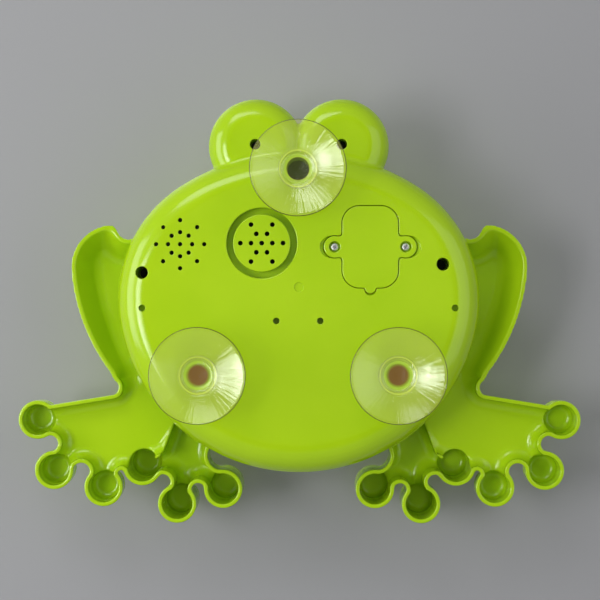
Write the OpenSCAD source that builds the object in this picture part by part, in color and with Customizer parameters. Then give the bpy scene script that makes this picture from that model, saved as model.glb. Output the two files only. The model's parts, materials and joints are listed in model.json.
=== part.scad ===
/* [Body] */
// Radius of the two shoulder arcs of the oval body
side_r = 64.5; // [63.5:0.1:65]
// Distance of each shoulder arc's centre from the middle
side_x = 22.5; // [22:0.1:23]
// Height of the shoulder arcs' centres above the middle of the cups
side_y = 3.6; // [3:0.1:4.2]
// Half the angle that the crown arc spans
crown_half = 33; // [32:1:34]
// Angle below level at which the belly arc takes over
belly_dip = 10; // [9:1:11]
// Wall of the moulded shells
wall = 2.2; // [2:0.1:2.4]

/* [Depths from the wall] */
// Outer face of the flat back plate
plate_d = 17; // [16.5:0.5:17.5]
// Parting line between the back cover and the front
part_d = 42; // [41:0.5:43]
// Foremost face of the front shell
front_d = 86; // [86:0.5:87]
// Rounding of the back cover's shoulder
back_round = 14; // [12:0.5:14]
// Rounding of the front shell's brow and belly
front_round = 38; // [37:0.5:38]

/* [Eyes] */
// Distance of each eye from the middle
eye_x = 20.7; // [20:0.1:21.5]
// Height of the eyes
eye_y = 77.6; // [77:0.1:78.5]
// Radius of the green eye bulge
eye_r = 23.5; // [23:0.1:24]
// Depth of the flat back of the eyes
eye_back_d = 24; // [23:0.5:25]
// Rounding of the back of the eyes
eye_round = 11; // [10:0.5:11]
// Radius of the white eyeball
ball_r = 17.5; // [17:0.1:17.8]
// Depth of the eyeball's centre
ball_d = 50; // [49.5:0.1:50.5]
// Radius of the pupil
pupil_r = 7; // [6:0.5:8]

/* [Legs] */
// Radius of the round toes
toe_r = 9.5; // [9.3:0.1:9.7]
// Depth of the hind foot's sole behind its rim
hind_deep = 11; // [10:0.5:11.5]
// Depth of the front foot's sole behind its rim
fore_deep = 24; // [20:0.5:24.5]
// Radius of the thigh's round top
thigh_r = 22.2; // [21.5:0.1:22.6]
// Radius of the thigh's long outer edge
shin_r = 95; // [92:1:98]
// Radius of the thigh's bulge towards the front
bulge_r = 26; // [25:0.5:28]

/* [Suction cups] */
// Radius of the cup's lip
cup_r = 22.5; // [22:0.1:23]
// Height of the top cup above the cups' centroid
cup_top_y = 64; // [63:0.5:65]
// Distance of each lower cup from the middle
cup_low_x = 46.5; // [46:0.5:47]
// Radius of the hub behind the lip
hub_r = 8.2; // [8:0.1:8.5]
// Radius of the stem in the socket
stem_r = 5; // [4.8:0.1:5.2]

/* [Back plate] */
// Distance of the intake grille and the fan from the middle
fan_x = 17.3; // [17:0.1:17.6]
// Height of the intake grille and the fan
fan_y = 30; // [29.5:0.1:30.5]
// Distance of the speaker grille from the middle
speaker_x = 55.9; // [55.5:0.1:56.2]
// Height of the speaker grille
speaker_y = 29.5; // [29:0.1:30]
// Distance of the battery door from the middle
door_x = -34; // [-34.2:0.1:-33.5]
// Height of the battery door
door_y = 28.2; // [28:0.1:28.5]
// Width of the battery door
door_w = 26.6; // [26.4:0.1:26.8]
// Length of the battery door
door_h = 38.8; // [38.6:0.1:39]
// Corner radius of the battery door
door_r = 8.3; // [8:0.1:8.5]

/* [Mouth and wheel] */
// Lowest point of the mouth
mouth_low = -28; // [-29:0.5:-27]
// Middle of the upper lip
mouth_top = 4; // [3:0.5:5]
// Radius of the lower lip's arc
mouth_low_r = 50; // [49:0.5:51]
// Radius of the upper lip's arc
mouth_top_r = 230; // [220:5:240]
// Height of the bubble wheel's axle
wheel_y = -14; // [-14.2:0.1:-13.8]
// Rings on the bubble wheel
ring_count = 6; // [6:1:6]

/* [Gears] */
// Pitch diameter per tooth
gear_m = 0.8; // [0.79:0.01:0.81]
// Teeth on both pinions
pinion_teeth = 10; // [10:1:10]
// Teeth on the layshaft gear
lay_teeth = 40; // [40:1:40]
// Teeth round the rim of the bubble wheel
wheel_teeth = 60; // [60:1:60]

/* [Buttons] */
// Distance of each button from the middle
button_x = 15; // [14.5:0.5:15.5]
// Height of the buttons
button_y = 36; // [35.5:0.5:36.5]
// Radius of a button
button_r = 6.8; // [6.5:0.1:7]

/* [Hidden] */
$fn = 96;

// Every piece is drawn lying on its back: x across, y up the frog, z from the wall to the front
eps = 0.01;
fit = 0.05;
shell_green = [0.64, 0.80, 0.13];
lip_orange = [0.93, 0.42, 0.16];
clear_vinyl = [0.85, 0.90, 0.88, 0.5];
steel = [0.75, 0.75, 0.77];
sun_yellow = [0.98, 0.80, 0.15];
button_red = [0.90, 0.20, 0.18];
board_green = [0.12, 0.40, 0.18];
brass = [0.80, 0.65, 0.30];
white_plastic = [0.95, 0.95, 0.92];
black_plastic = [0.08, 0.08, 0.09];

// Oval of the body: crown, two shoulders and belly, each arc tangent to the next
crown_y = side_y - side_x / tan(crown_half);
crown_r = side_r + side_x / sin(crown_half);
belly_y = side_y + side_x * tan(belly_dip);
belly_r = side_r + side_x / cos(belly_dip);
shoulder_angle = 90 - crown_half + belly_dip;
oval_step = 6;
round_steps = 6;
// Each arc as centre, radius, first angle and swept angle
body_arcs = [
  [[0, crown_y], crown_r, 90 - crown_half, 2 * crown_half],
  [[side_x, side_y], side_r, -belly_dip, shoulder_angle],
  [[-side_x, side_y], side_r, 90 + crown_half, shoulder_angle],
  [[0, belly_y], belly_r, 180 + belly_dip, 180 - 2 * belly_dip]
];
tongue_deep = 3;
tongue_root = 5;
tongue_t = 1.2;

// The point at distance ra from a and rb from b, on the right of the way from a to b
function meet(a, ra, b, rb) =
  let (d = norm(b - a), u = (b - a) / d, s = (ra * ra - rb * rb + d * d) / (2 * d),
       h = sqrt(ra * ra - s * s))
  a + s * u + h * [u.y, -u.x];
function polar(r, a) = r * [cos(a), sin(a)];
function bearing(from, to) = atan2(to.y - from.y, to.x - from.x);

// Toes of one side from the hind foot's outer toe to the front foot's inner toe, and the webs between
toes = [[128.4, -55.5], [120.3, -80.2], [96, -88.5], [76.9, -78.2], [59.8, -96.6], [37.2, -89.3]];
web_r = [4, 4.2, 1.8, 3.6, 3.2];
// Neighbouring arcs of the outline overlap by this much, so that they cross cleanly
bite = 0.15;
webs = [for (i = [0:4]) meet(toes[i], toe_r + web_r[i] - bite, toes[i + 1], toe_r + web_r[i] - bite)];
hind_toes = 3;
toe_hind_deep = 11.6;
toe_fore_deep = 24.6;
toe_cap = 5;
// The hollow beside the inner toe, where the front leg turns up to the belly
armpit = [37.6, -73];
armpit_r = norm(armpit - toes[5]) - toe_r + bite;
// Thigh, the crook of the knee and the notch beside the shoulder
thigh = [89.3, 16.8];
knee = [92.1, -39.5];
knee_r = 3.9;
notch = [82, 38.4];
notch_r = 5.9;
shin = meet(thigh, shin_r - thigh_r + bite, knee, shin_r + knee_r - bite);
instep_angle = 9.3;
instep_length = 32;
// Depth of the bulge's middle line at the ankle, and its slope down to the thigh
bulge_d = part_d - 12.5;
bulge_tilt = 8.5;
ankle = [84, -36];
hind_inner = [[65.3, -72.9], [58.9, -60.6], [54, -48], [72, -28], [84, -24]];
fore_top = -46;
fore_inner = [[62, -44], [72, -58]];
far = 140;

// Screw posts of the case
eyes = [[eye_x, eye_y], [-eye_x, eye_y]];
side_screws = [[74.2, 16.1], [-68.3, 20]];
eye_screw_r = 2.5;
side_screw_r = 3;
screw_floor_d = 36;
boss_d = 38;
boss_wall = 1.8;
post_r = 3.6;
post_d = 38.3;
side_post_ends = [69.5, 74.5];
screw_r = 1.3;
screw_head_h = 2;
screw_length = 12;
eye_head_r = 2.3;
side_head_r = 2.7;
pilot_r = screw_r + fit;

// Details of the back plate
intake_disc_r = 13.6;
intake_groove_r = 16.7;
groove_deep = 6.4;
groove_wall = 1.5;
intake_hole_r = 1.1;
intake_pitch = 5.05;
grille_hole_r = 1;
grille_pitch = 5.7;
gate = [-0.3, 9.2];
gate_r = 2.2;
gate_deep = 0.4;
dimple_x = 74;
dimple_y = -0.7;
dimple_r = 1.6;
dimple_deep = 1.4;
peg_hole_x = 10.4;
peg_hole_y = -6.8;
peg_hole_r = 1.5;
peg_hole_deep = 3.6;
peg_boss_r = 2.6;
speaker_r = 14;
speaker_wall = 1.4;
speaker_deep = 5;
speaker_gap = 0.3;
speaker_frame_t = 3;
speaker_cone_r = 12.6;
speaker_coil_r = 5;
cone_d = 1.6;
cone_t = 0.4;
magnet_r = 8;
magnet_t = 4;
socket_boss_r = 8.8;
socket_boss_d = 25;
plate_in_d = plate_d + wall;
speaker_d = plate_in_d + 1.8;
side_boss_d = plate_in_d - 0.2;

// Battery door, its ears and the well behind it
door_t = 1.6;
door_gap = 0.3;
ear_x = 16.8;
ear_r = 5.2;
ear_deep = 4.4;
ear_boss_r = 3.6;
ear_fillet = 2.4;
tab_r = 2.7;
door_screw_r = 1.2;
door_head_r = 2.3;
door_pocket_r = 2.6;
door_seat_d = plate_d + 3;
door_boss_deep = 14;
ledge_d = plate_d + 2.4;
frame_grow = 2;
frame_d = 22;
well_w = 24.6;
well_h = 36.2;
well_r = 7.2;
box_wall = 1.4;
box_floor_d = 75.4;
box_end_d = 76.2;
cell_r = 7.1;
cell_length = 49.5;
cell_nub = 1;
cell_nub_r = 2.7;
cell_d = 21.2;
cell_x = (well_w - 0.2) / 2 - cell_r;
cell_y = 10.3;
door_screw_length = 9;
seal_t = 0.5;
seal_w = 0.8;
strip_t = 0.4;
strip_r = 2.6;
contact_gap = 0.3;
spring_tip_r = 2.2;
spring_base_r = 5.6;
spring_t = 0.8;
cells = [[-cell_x, cell_y], [cell_x, 0], [-cell_x, -cell_y]];

// Suction cup
cup_hollow = 6.5;
cup_crown = 9;
lip_flat = 1;
lip_t = 0.9;
head_r = 7;
head_deep = 4.5;
head_edge = 1;
cups = [[0, cup_top_y], [cup_low_x, -cup_top_y / 2], [-cup_low_x, -cup_top_y / 2]];

// Fan, motor and air way
fan = [fan_x, fan_y];
fan_wall = 1.6;
fan_case_r = 21;
fan_floor_d = 34.4;
fan_end_d = 36;
fan_ears = [-30, 75, 150];
fan_ear_reach = 24.3;
fan_ear_r = 3.2;
fan_ear_d = 25;
fan_ear_t = 2;
fan_screw_length = 6;
motor_r = 10.05;
motor_flat = 15.1;
motor_length = 20;
end_cap_length = 3.6;
collar_length = 8;
motor_shaft_r = 1;
impeller_r = 15.5;
impeller_d = 25.5;
impeller_h = 7.5;
impeller_disc = 1;
blade_count = 9;
blade_t = 1;
blade_sweep = 25;
impeller_hub_r = 3;
shaft_hole_r = 3;
tube_r = 7;
tube_bore_r = 5.5;

// Gears: the layshaft lies between the motor and the wheel
wheel = [0, wheel_y];
pressure_angle = 25;
addendum = 0.85 * gear_m;
dedendum = 1.1 * gear_m;
backlash = 0.12;
function pitch_r(teeth) = teeth * gear_m / 2;
lay_reach = pitch_r(pinion_teeth) + pitch_r(lay_teeth);
rim_reach = pitch_r(pinion_teeth) + pitch_r(wheel_teeth);
lay = meet(wheel, rim_reach, fan, lay_reach);
gear_t = 3;
pinion_t = 3.5;
lay_gear_d = 61.2;
pinion_d = 61;
lay_shaft_r = 1.5;
lay_shaft_d = 60.6;
lay_shaft_end = 79.4;
bush_r = 3.2;
bush_d = 65;

// Bubble wheel and its chamber
rim_d = 75.4;
rim_t = 3.5;
rim_in_r = 21.6;
wheel_hub_r = 4.5;
wheel_hub_d = 75;
wheel_hub_t = 4.2;
ring_reach = 14.4;
ring_out_r = 7.6;
ring_in_r = 5.8;
spoke_w = 2;
nozzle_angle = 150;
nozzle = wheel + polar(ring_reach, nozzle_angle);
nozzle_bore_r = 4.8;
nozzle_r = 6;
nozzle_d = 74.4;
ring_turn = 30;
axle_r = 1.5;
axle_d = 64.5;
axle_head_d = 79.6;
axle_end = 81;
axle_head_r = 3;
axle_boss_r = 4;
axle_boss_d = 74.6;
tray_wall = 1.6;
tray_d = 70;
tray_front_d = front_d - wall - 1;
tray_y = 6;
tray_r = 52;
tray_top = 7;
wheel_room = 27;
pinion_room = 7;
lip_d = front_d + 2.2;
mouth_lip = 1.8;
mouth_gap = 0.15;
mouth_room = 1;
mouth_depth_d = 77.6;
tray_ears = [-8, -60, -120, -172];
tray_ear_reach = 57.2;
tray_ear_r = 4;
tray_ear_d = 74;
tray_ear_t = 2;
tray_post_r = 3.2;
tray_post_end = 83.4;
tray_screw_length = 7;

// Circuit board and buttons
board_d = 73.6;
board_t = 1.6;
board_x = [-19.5, 34];
board_y = [30, 50];
board_posts = [[0, 47], [31, 47], [31, 33], [0, 33]];
board_post_r = 2.8;
board_post_ends = [83, 80.5, 84.5, 84.5];
board_pilot_end = 80;
board_screw_length = 5;
chip = [18, 40];
chip_r = 5;
chip_t = 1.5;
switch_w = 6;
switch_h = 2.5;
plunger_r = 1.7;
plunger_h = 0.8;
button_flange_r = 8.4;
button_flange_t = 1.4;
button_flange_d = 80.4;
button_stem_r = 2.2;
button_stem_d = 79.9;
button_top_d = 87.4;
button_crown = 1.2;
button_gap = 0.3;

// Eyeballs and pupils
eye_hole_r = 13.4;
eye_neck_r = 13.3;
eye_neck_d = 57;
eye_flange_r = 14.6;
eye_flange_t = 1.6;
eye_wall = 1.8;
eye_post_r = 3.4;
pupil_t = 0.8;
pupil_stem_r = 1.5;
pupil_turn = 12;

module upright() {
  rotate([90, 0, 0]) children();
}

module at(p, d = 0) {
  translate([p.x, p.y, d]) children();
}

module disc(p, r, d, h) {
  at(p, d) cylinder(h = h, r = r);
}

// A screw whose head seats at depth d and whose shank runs on towards the front
module screw(p, d, r, head_r, length) {
  disc(p, head_r, d - screw_head_h, screw_head_h);
  disc(p, r, d - eps, length);
}

// Points along one arc of the body, and round the whole oval drawn in by inset
function arc_points(arc, inset) =
  let (n = round(arc[3] / oval_step))
  [for (i = [0:n - 1]) arc[0] + polar(arc[1] - inset, arc[2] + arc[3] * i / n)];
function oval_points(inset) = [for (k = [1, 0, 2, 3]) each arc_points(body_arcs[k], inset)];

// Closed solid through rings of points, each ring at its own depth
module loft(rings, depths) {
  n = len(rings[0]);
  last = len(rings) - 1;
  points = [for (k = [0:last], p = rings[k]) [p.x, p.y, depths[k]]];
  sides = [for (k = [0:last - 1], i = [0:n - 1])
    let (a = k * n + i, b = k * n + (i + 1) % n)
    each [[a, a + n, b], [b, a + n, b + n]]];
  first_face = [for (i = [0:n - 1]) i];
  last_face = [for (i = [n - 1:-1:0]) last * n + i];
  polyhedron(points, concat([first_face], sides, [last_face]));
}

// Rounded solid of the body from the open depth d0 forward to the flat face at d1
module body_form(inset, d0, d1, round_r) {
  angles = [for (i = [0:round_steps]) 90 * i / round_steps];
  rings = concat([oval_points(inset)], [for (a = angles) oval_points(inset + round_r * (1 - cos(a)))]);
  depths = concat([d0], [for (a = angles) d1 - round_r * (1 - sin(a))]);
  loft(rings, depths);
}

module back_form(inset, open_d) {
  mirror([0, 0, 1]) body_form(inset, -open_d, -plate_d - inset, back_round - inset);
}

module front_form(inset, open_d) {
  body_form(inset, open_d, front_d - inset, front_round - inset);
}

// Section of a dish that is flat at depth d0, open at d1 and round at its edge
module dish(r, d0, d1, round_r) {
  translate([0, d0 + round_r]) square([r, d1 - d0 - round_r]);
  translate([0, d0]) square([r - round_r, d1 - d0]);
  translate([r - round_r, d0 + round_r]) intersection() {
    circle(round_r);
    translate([-round_r, -round_r]) square([2 * round_r, round_r]);
  }
}

module eye_backs(inset, open_d) {
  for (eye = eyes)
    at(eye) rotate_extrude() dish(eye_r - inset, eye_back_d + inset, open_d, eye_round - inset);
}

module eye_fronts(inset, open_d) {
  for (eye = eyes)
    at(eye) rotate_extrude() intersection() {
      translate([0, part_d]) circle(eye_r - inset);
      translate([0, open_d]) square(2 * eye_r);
    }
}

module oval_ring(outer, inner, d, h) {
  translate([0, 0, d]) linear_extrude(h) difference() {
    polygon(oval_points(outer));
    polygon(oval_points(inner));
  }
}

// The lip of the back cover that locates inside the front shell
module tongue() {
  oval_ring(wall / 2, wall + tongue_t, part_d - tongue_root, tongue_root);
  oval_ring(wall + 2 * fit, wall + tongue_t, part_d - eps, tongue_deep);
}

module rounded(w, h, r) {
  square([w, h - 2 * r], center = true);
  square([w - 2 * r, h], center = true);
  for (x = [-1, 1], y = [-1, 1])
    translate([x * (w / 2 - r), y * (h / 2 - r)]) circle(r);
}

// Outline of the battery door with its two screw ears and its finger tab
module door_outline(grow) {
  corner_x = door_w / 2 + ear_fillet;
  corner_y = sqrt(pow(ear_r + ear_fillet, 2) - pow(ear_x - corner_x, 2));
  rounded(door_w + 2 * grow, door_h + 2 * grow, door_r + grow);
  translate([0, -door_h / 2]) circle(tab_r + grow);
  for (sx = [0, 1]) mirror([sx, 0]) {
    translate([ear_x, 0]) circle(ear_r + grow);
    difference() {
      polygon([[0, -corner_y], [corner_x, -corner_y], [ear_x, 0], [corner_x, corner_y], [0, corner_y]]);
      for (sy = [-1, 1])
        translate([corner_x, sy * corner_y]) circle(ear_fillet - grow);
    }
  }
}

// Outline of the room for the cells, grown by grow
module battery_outline(grow) {
  rounded(well_w + 2 * grow, well_h + 2 * grow, well_r + grow);
}

module at_door(d = 0) {
  at([door_x, door_y], d) children();
}

module at_ears(d = 0) {
  for (sx = [-1, 1])
    at([door_x + sx * ear_x, door_y], d) children();
}

module door_frame() {
  start = plate_d + wall / 2;
  at_door(start) linear_extrude(frame_d - start) door_outline(frame_grow);
  at_ears(start) cylinder(h = ear_deep + boss_wall, r = ear_boss_r + door_gap + boss_wall);
  at_ears(start) cylinder(h = door_boss_deep, r = post_r);
}

module door_cuts() {
  at_door() linear_extrude(ledge_d) door_outline(door_gap);
  at_door() linear_extrude(part_d) battery_outline(0);
  at_ears() cylinder(h = plate_d + ear_deep + 2 * fit, r = ear_boss_r + door_gap);
  at_door(frame_d) linear_extrude(part_d - frame_d) battery_outline(box_wall + fit);
  at_ears() cylinder(h = plate_d + door_boss_deep, r = door_screw_r + 2 * fit);
}

module fan_bosses() {
  for (a = fan_ears)
    disc(fan + polar(fan_ear_reach, a), fan_ear_r, plate_d + wall / 2, fan_ear_d - plate_d - wall / 2);
}

// Everything that stands on the inner face of the back plate
module plate_bosses() {
  start = plate_d + wall / 2;
  for (eye = eyes)
    disc(eye, eye_screw_r + boss_wall, eye_back_d + wall / 2, boss_d - eye_back_d - wall / 2);
  for (p = side_screws)
    disc(p, side_screw_r + boss_wall, side_boss_d, boss_d - side_boss_d);
  disc(cups[0], socket_boss_r, plate_d, socket_boss_d - plate_d);
  disc(fan, intake_groove_r + groove_wall, start, groove_deep + groove_wall - wall / 2);
  for (x = [-peg_hole_x, peg_hole_x])
    disc([x, peg_hole_y], peg_boss_r, start, peg_hole_deep);
  at([speaker_x, speaker_y], start) difference() {
    cylinder(h = speaker_deep, r = speaker_r + speaker_gap + speaker_wall);
    cylinder(h = speaker_deep, r = speaker_r + speaker_gap);
  }
  door_frame();
  fan_bosses();
}

// Everything that is cut into the back plate
module plate_cuts() {
  for (eye = eyes) {
    disc(eye, eye_screw_r, 0, screw_floor_d);
    disc(eye, pilot_r, 0, part_d);
  }
  for (p = side_screws) {
    disc(p, side_screw_r, 0, screw_floor_d);
    disc(p, pilot_r, 0, part_d);
  }
  for (cup = cups) {
    disc(cup, stem_r + fit, 0, part_d);
    disc(cup, head_r + fit, plate_in_d, part_d);
  }
  disc(fan, intake_disc_r - groove_wall, plate_in_d, part_d);
  at(fan) rotate_extrude() translate([intake_disc_r, 0])
    square([intake_groove_r - intake_disc_r, plate_d + groove_deep]);
  disc(fan, intake_hole_r, 0, part_d);
  for (ring = [1, 2], i = [0:5])
    disc(fan + polar(ring * intake_pitch, 60 * i), intake_hole_r, 0, part_d);
  disc([speaker_x, speaker_y], grille_hole_r, 0, part_d);
  for (ring = [1, 2], i = [0:7])
    disc([speaker_x, speaker_y] + polar(ring * grille_pitch, 45 * i), grille_hole_r, 0, part_d);
  for (x = [-peg_hole_x, peg_hole_x])
    disc([x, peg_hole_y], peg_hole_r, 0, plate_d + peg_hole_deep);
  disc(gate, gate_r, 0, plate_d + gate_deep);
  for (x = [-dimple_x, dimple_x])
    disc([x, dimple_y], dimple_r, 0, plate_d + dimple_deep);
  for (a = fan_ears)
    disc(fan + polar(fan_ear_reach, a), pilot_r, plate_in_d + 1, part_d);
  door_cuts();
}

module back_cover() {
  color(shell_green) upright() difference() {
    union() {
      difference() {
        union() {
          back_form(0, part_d);
          eye_backs(0, part_d);
        }
        back_form(wall, part_d + 1);
        eye_backs(wall, part_d + 1);
      }
      difference() {
        tongue();
        eye_backs(wall / 2, part_d + tongue_deep + 1);
      }
      plate_bosses();
    }
    plate_cuts();
  }
}

// Outline of the smiling mouth, grown by grow
module mouth_outline(grow) {
  difference() {
    translate([0, mouth_low + mouth_low_r]) circle(mouth_low_r + grow);
    translate([0, mouth_top + mouth_top_r]) circle(mouth_top_r - grow);
  }
}

function tray_ear(a) = [0, tray_y] + polar(tray_ear_reach, a);

module front_posts() {
  for (i = [0, 1])
    disc(side_screws[i], post_r, post_d, side_post_ends[i] - post_d);
  for (a = tray_ears)
    disc(tray_ear(a), tray_post_r, tray_ear_d + tray_ear_t, tray_post_end - tray_ear_d - tray_ear_t);
  for (i = [0:3])
    disc(board_posts[i], board_post_r, board_d + board_t, board_post_ends[i] - board_d - board_t);
}

module front_cuts() {
  for (p = side_screws)
    disc(p, pilot_r, 0, post_d + screw_length);
  for (a = tray_ears)
    disc(tray_ear(a), pilot_r, part_d, tray_post_end - part_d - 1);
  for (p = board_posts)
    disc(p, pilot_r, part_d, board_pilot_end - part_d);
  for (eye = eyes)
    disc(eye, eye_hole_r, part_d, front_d);
  for (x = [-button_x, button_x])
    disc([x, button_y], button_r + button_gap, tray_d, front_d);
  translate([0, 0, tray_d]) linear_extrude(front_d) mouth_outline(mouth_gap);
}

module front_shell() {
  color(shell_green) upright() difference() {
    union() {
      difference() {
        union() {
          front_form(0, part_d);
          eye_fronts(0, part_d);
        }
        front_form(wall, part_d - 1);
        eye_fronts(wall, part_d - 1);
      }
      front_posts();
    }
    front_cuts();
  }
}

// A rod that stands on its flat end, with the other end rounded to the radius cap
module bullet(r, h, cap) {
  rotate_extrude() {
    square([r, h]);
    square([r - cap + eps, h + cap]);
    translate([r - cap, h]) intersection() {
      circle(cap);
      square(2 * cap);
    }
  }
}

// Outline of a foot, drawn in by w: its toes, the webs between them and the sole inside the points given
module foot_outline(w, first, last, points) {
  difference() {
    union() {
      for (i = [first:last])
        translate(toes[i]) circle(toe_r - w);
      polygon(points);
    }
    for (i = [0:len(webs) - 1])
      translate(webs[i]) circle(web_r[i] + w);
    translate(armpit) circle(armpit_r + w);
    translate(knee) circle(knee_r + w);
  }
}

module hind_foot(w) {
  heel = knee - polar(knee_r + w - bite, 90 - instep_angle);
  toe_chain = [toes[0], webs[0], toes[1], webs[1], toes[2], webs[2], toes[3]];
  hidden = [for (p = hind_inner) p + w * [-2, 2]];
  foot_outline(w, 0, 3, concat(toe_chain, hidden, [knee, heel, heel + polar(instep_length, -instep_angle)]));
}

module fore_foot(w) {
  rise = armpit.x + armpit_r + w;
  toe_chain = [toes[3], webs[3], toes[4], webs[4], toes[5], armpit];
  hidden = [for (p = fore_inner) p + w * [0, 2]];
  foot_outline(w, 3, 5, concat(toe_chain, [[rise, armpit.y], [rise, fore_top + w]], hidden));
}

module thigh_outline(w) {
  difference() {
    union() {
      translate(thigh) circle(thigh_r - w);
      intersection() {
        translate(shin) circle(shin_r - w);
        polygon([shin, shin + polar(far, bearing(shin, thigh)), shin + polar(far, bearing(shin, knee))]);
      }
    }
    translate(notch) circle(notch_r + w);
    translate(knee) circle(knee_r + w);
  }
}

// Solid of one side's thigh and two feet, drawn in by w and open from the depth start
module leg_form(w, start) {
  for (i = [0:len(toes) - 1])
    at(toes[i], start)
      bullet(toe_r - w, part_d - start + (i < hind_toes ? toe_hind_deep : toe_fore_deep), toe_cap - w);
  translate([0, 0, start]) linear_extrude(part_d - start + hind_deep - w) hind_foot(w);
  translate([0, 0, start]) linear_extrude(part_d - start + fore_deep - w) fore_foot(w);
  intersection() {
    translate([0, 0, start]) linear_extrude(front_d - part_d) thigh_outline(w);
    at(ankle, bulge_d) rotate([bulge_tilt - 90, 0, bearing(ankle, thigh) - 90])
      bullet(bulge_r - w, norm(thigh - ankle), bulge_r - w);
  }
}

module legs() {
  difference() {
    leg_form(0, part_d);
    leg_form(wall, part_d - 1);
    front_form(0, part_d - 5);
  }
}

module left_legs() {
  color(shell_green) upright() legs();
}

module right_legs() {
  color(shell_green) upright() mirror([1, 0, 0]) legs();
}

// Lip, hub, stem and locking head of a cup, about its own axis
module cup_section() {
  hollow_r = (pow(cup_r - lip_flat, 2) + pow(cup_hollow, 2)) / (2 * cup_hollow);
  crown_h = cup_crown - lip_t;
  back_r = (pow(cup_r, 2) + pow(crown_h, 2)) / (2 * crown_h);
  difference() {
    union() {
      intersection() {
        translate([0, cup_crown - back_r]) circle(back_r);
        square([cup_r, plate_d]);
      }
      translate([0, 1]) square([hub_r, plate_d - 1]);
      translate([0, plate_d - eps]) square([stem_r, wall + 2 * eps]);
      translate([0, plate_in_d])
        polygon([[0, 0], [head_r, 0], [head_r, head_edge], [stem_r, head_deep], [0, head_deep]]);
    }
    translate([0, cup_hollow - hollow_r]) circle(hollow_r);
    translate([-2 * cup_r, -cup_r]) square([2 * cup_r, 4 * cup_r]);
  }
}

module suction_cup(p) {
  color(clear_vinyl) upright() at(p) rotate_extrude() cup_section();
}

module battery_door() {
  color(shell_green) upright() difference() {
    union() {
      at_door(plate_d) linear_extrude(door_t) door_outline(0);
      at_ears(plate_d) cylinder(h = ear_deep, r = ear_boss_r);
    }
    at_ears() cylinder(h = door_seat_d, r = door_pocket_r);
    at_ears() cylinder(h = part_d, r = door_screw_r + fit);
  }
}

module door_seal() {
  color(black_plastic) upright() at_door(plate_d + door_t) linear_extrude(seal_t) difference() {
    battery_outline(seal_w);
    battery_outline(0);
  }
}

module door_contacts() {
  color(steel) upright() at_door(plate_d + door_t) {
    linear_extrude(strip_t) for (i = [0, 1]) hull_of_discs(cells[i], strip_r, cells[i + 1], strip_r);
    for (cell = cells)
      disc(cell, strip_r, 0, cell_d - plate_d - door_t - contact_gap);
  }
}

module door_screws() {
  color(steel) upright() for (sx = [-1, 1])
    screw([door_x + sx * ear_x, door_y], door_seat_d, door_screw_r, door_head_r, door_screw_length);
}

module battery_box() {
  color(black_plastic) upright() at_door(frame_d) difference() {
    linear_extrude(box_end_d - frame_d) battery_outline(box_wall);
    translate([0, 0, -1]) linear_extrude(box_floor_d - frame_d + 1) battery_outline(0);
  }
}

module battery_cells() {
  color(brass) upright() at_door() for (cell = cells) {
    disc(cell, cell_r, cell_d + cell_nub, cell_length);
    disc(cell, cell_nub_r, cell_d, cell_nub + eps);
  }
}

module contact_springs() {
  start = cell_d + cell_nub + cell_length;
  color(steel) upright() at_door() for (cell = cells)
    at(cell) rotate_extrude() polygon([[spring_tip_r, start], [spring_tip_r + spring_t, start],
      [spring_base_r, box_floor_d], [spring_base_r - spring_t, box_floor_d]]);
}

module speaker_frame() {
  color(steel) upright() at([speaker_x, speaker_y], speaker_d) difference() {
    cylinder(h = speaker_frame_t, r = speaker_r);
    translate([0, 0, -1]) cylinder(h = speaker_frame_t, r = speaker_cone_r);
    cylinder(h = 2 * speaker_frame_t, r = speaker_coil_r);
  }
}

module speaker_cone() {
  edge = speaker_cone_r - fit;
  throat = speaker_coil_r - fit;
  color(black_plastic) upright() at([speaker_x, speaker_y], speaker_d) rotate_extrude()
    polygon([[0, cone_d], [throat, cone_d], [edge, 0], [edge, cone_t], [throat, cone_d + cone_t],
      [0, cone_d + cone_t]]);
}

module speaker_magnet() {
  color(steel) upright() disc([speaker_x, speaker_y], magnet_r, speaker_d + speaker_frame_t, magnet_t);
}

// Two discs and the straight tangents that join them
module hull_of_discs(a, ra, b, rb) {
  turn = acos((ra - rb) / norm(b - a));
  sides = [bearing(a, b) + turn, bearing(a, b) - turn];
  translate(a) circle(ra);
  translate(b) circle(rb);
  polygon([for (i = [0, 1]) a + polar(ra, sides[i]), for (i = [1, 0]) b + polar(rb, sides[i])]);
}

module motor_outline(grow) {
  intersection() {
    circle(motor_r + grow);
    square([2 * motor_r + 2 * grow, motor_flat + 2 * grow], center = true);
  }
}

// Scroll of the blower, from the fan to the round outlet behind the wheel
module fan_housing() {
  color(black_plastic) upright() difference() {
    union() {
      translate([0, 0, plate_in_d]) linear_extrude(fan_end_d - plate_in_d)
        hull_of_discs(fan, fan_case_r, nozzle, tube_r + fan_wall);
      for (a = fan_ears)
        translate([0, 0, fan_ear_d]) linear_extrude(fan_ear_t)
          hull_of_discs(fan, fan_case_r - fan_wall, fan + polar(fan_ear_reach, a), fan_ear_r);
      at(fan, fan_end_d - eps) linear_extrude(collar_length) motor_outline(fan_wall);
    }
    translate([0, 0, plate_in_d - 1]) linear_extrude(fan_floor_d - plate_in_d + 1)
      hull_of_discs(fan, fan_case_r - fan_wall, nozzle, tube_r);
    at(fan, fan_end_d) linear_extrude(collar_length + 1) motor_outline(fit);
    disc(fan, shaft_hole_r, plate_in_d, motor_length);
    disc(nozzle, tube_bore_r, plate_in_d, motor_length);
    for (a = fan_ears)
      disc(fan + polar(fan_ear_reach, a), pilot_r, plate_in_d, motor_length);
  }
}

module fan_screws() {
  color(steel) upright() for (a = fan_ears)
    at(fan + polar(fan_ear_reach, a), fan_ear_d + fan_ear_t) mirror([0, 0, 1])
      screw([0, 0], 0, screw_r, eye_head_r, fan_screw_length);
}

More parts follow.
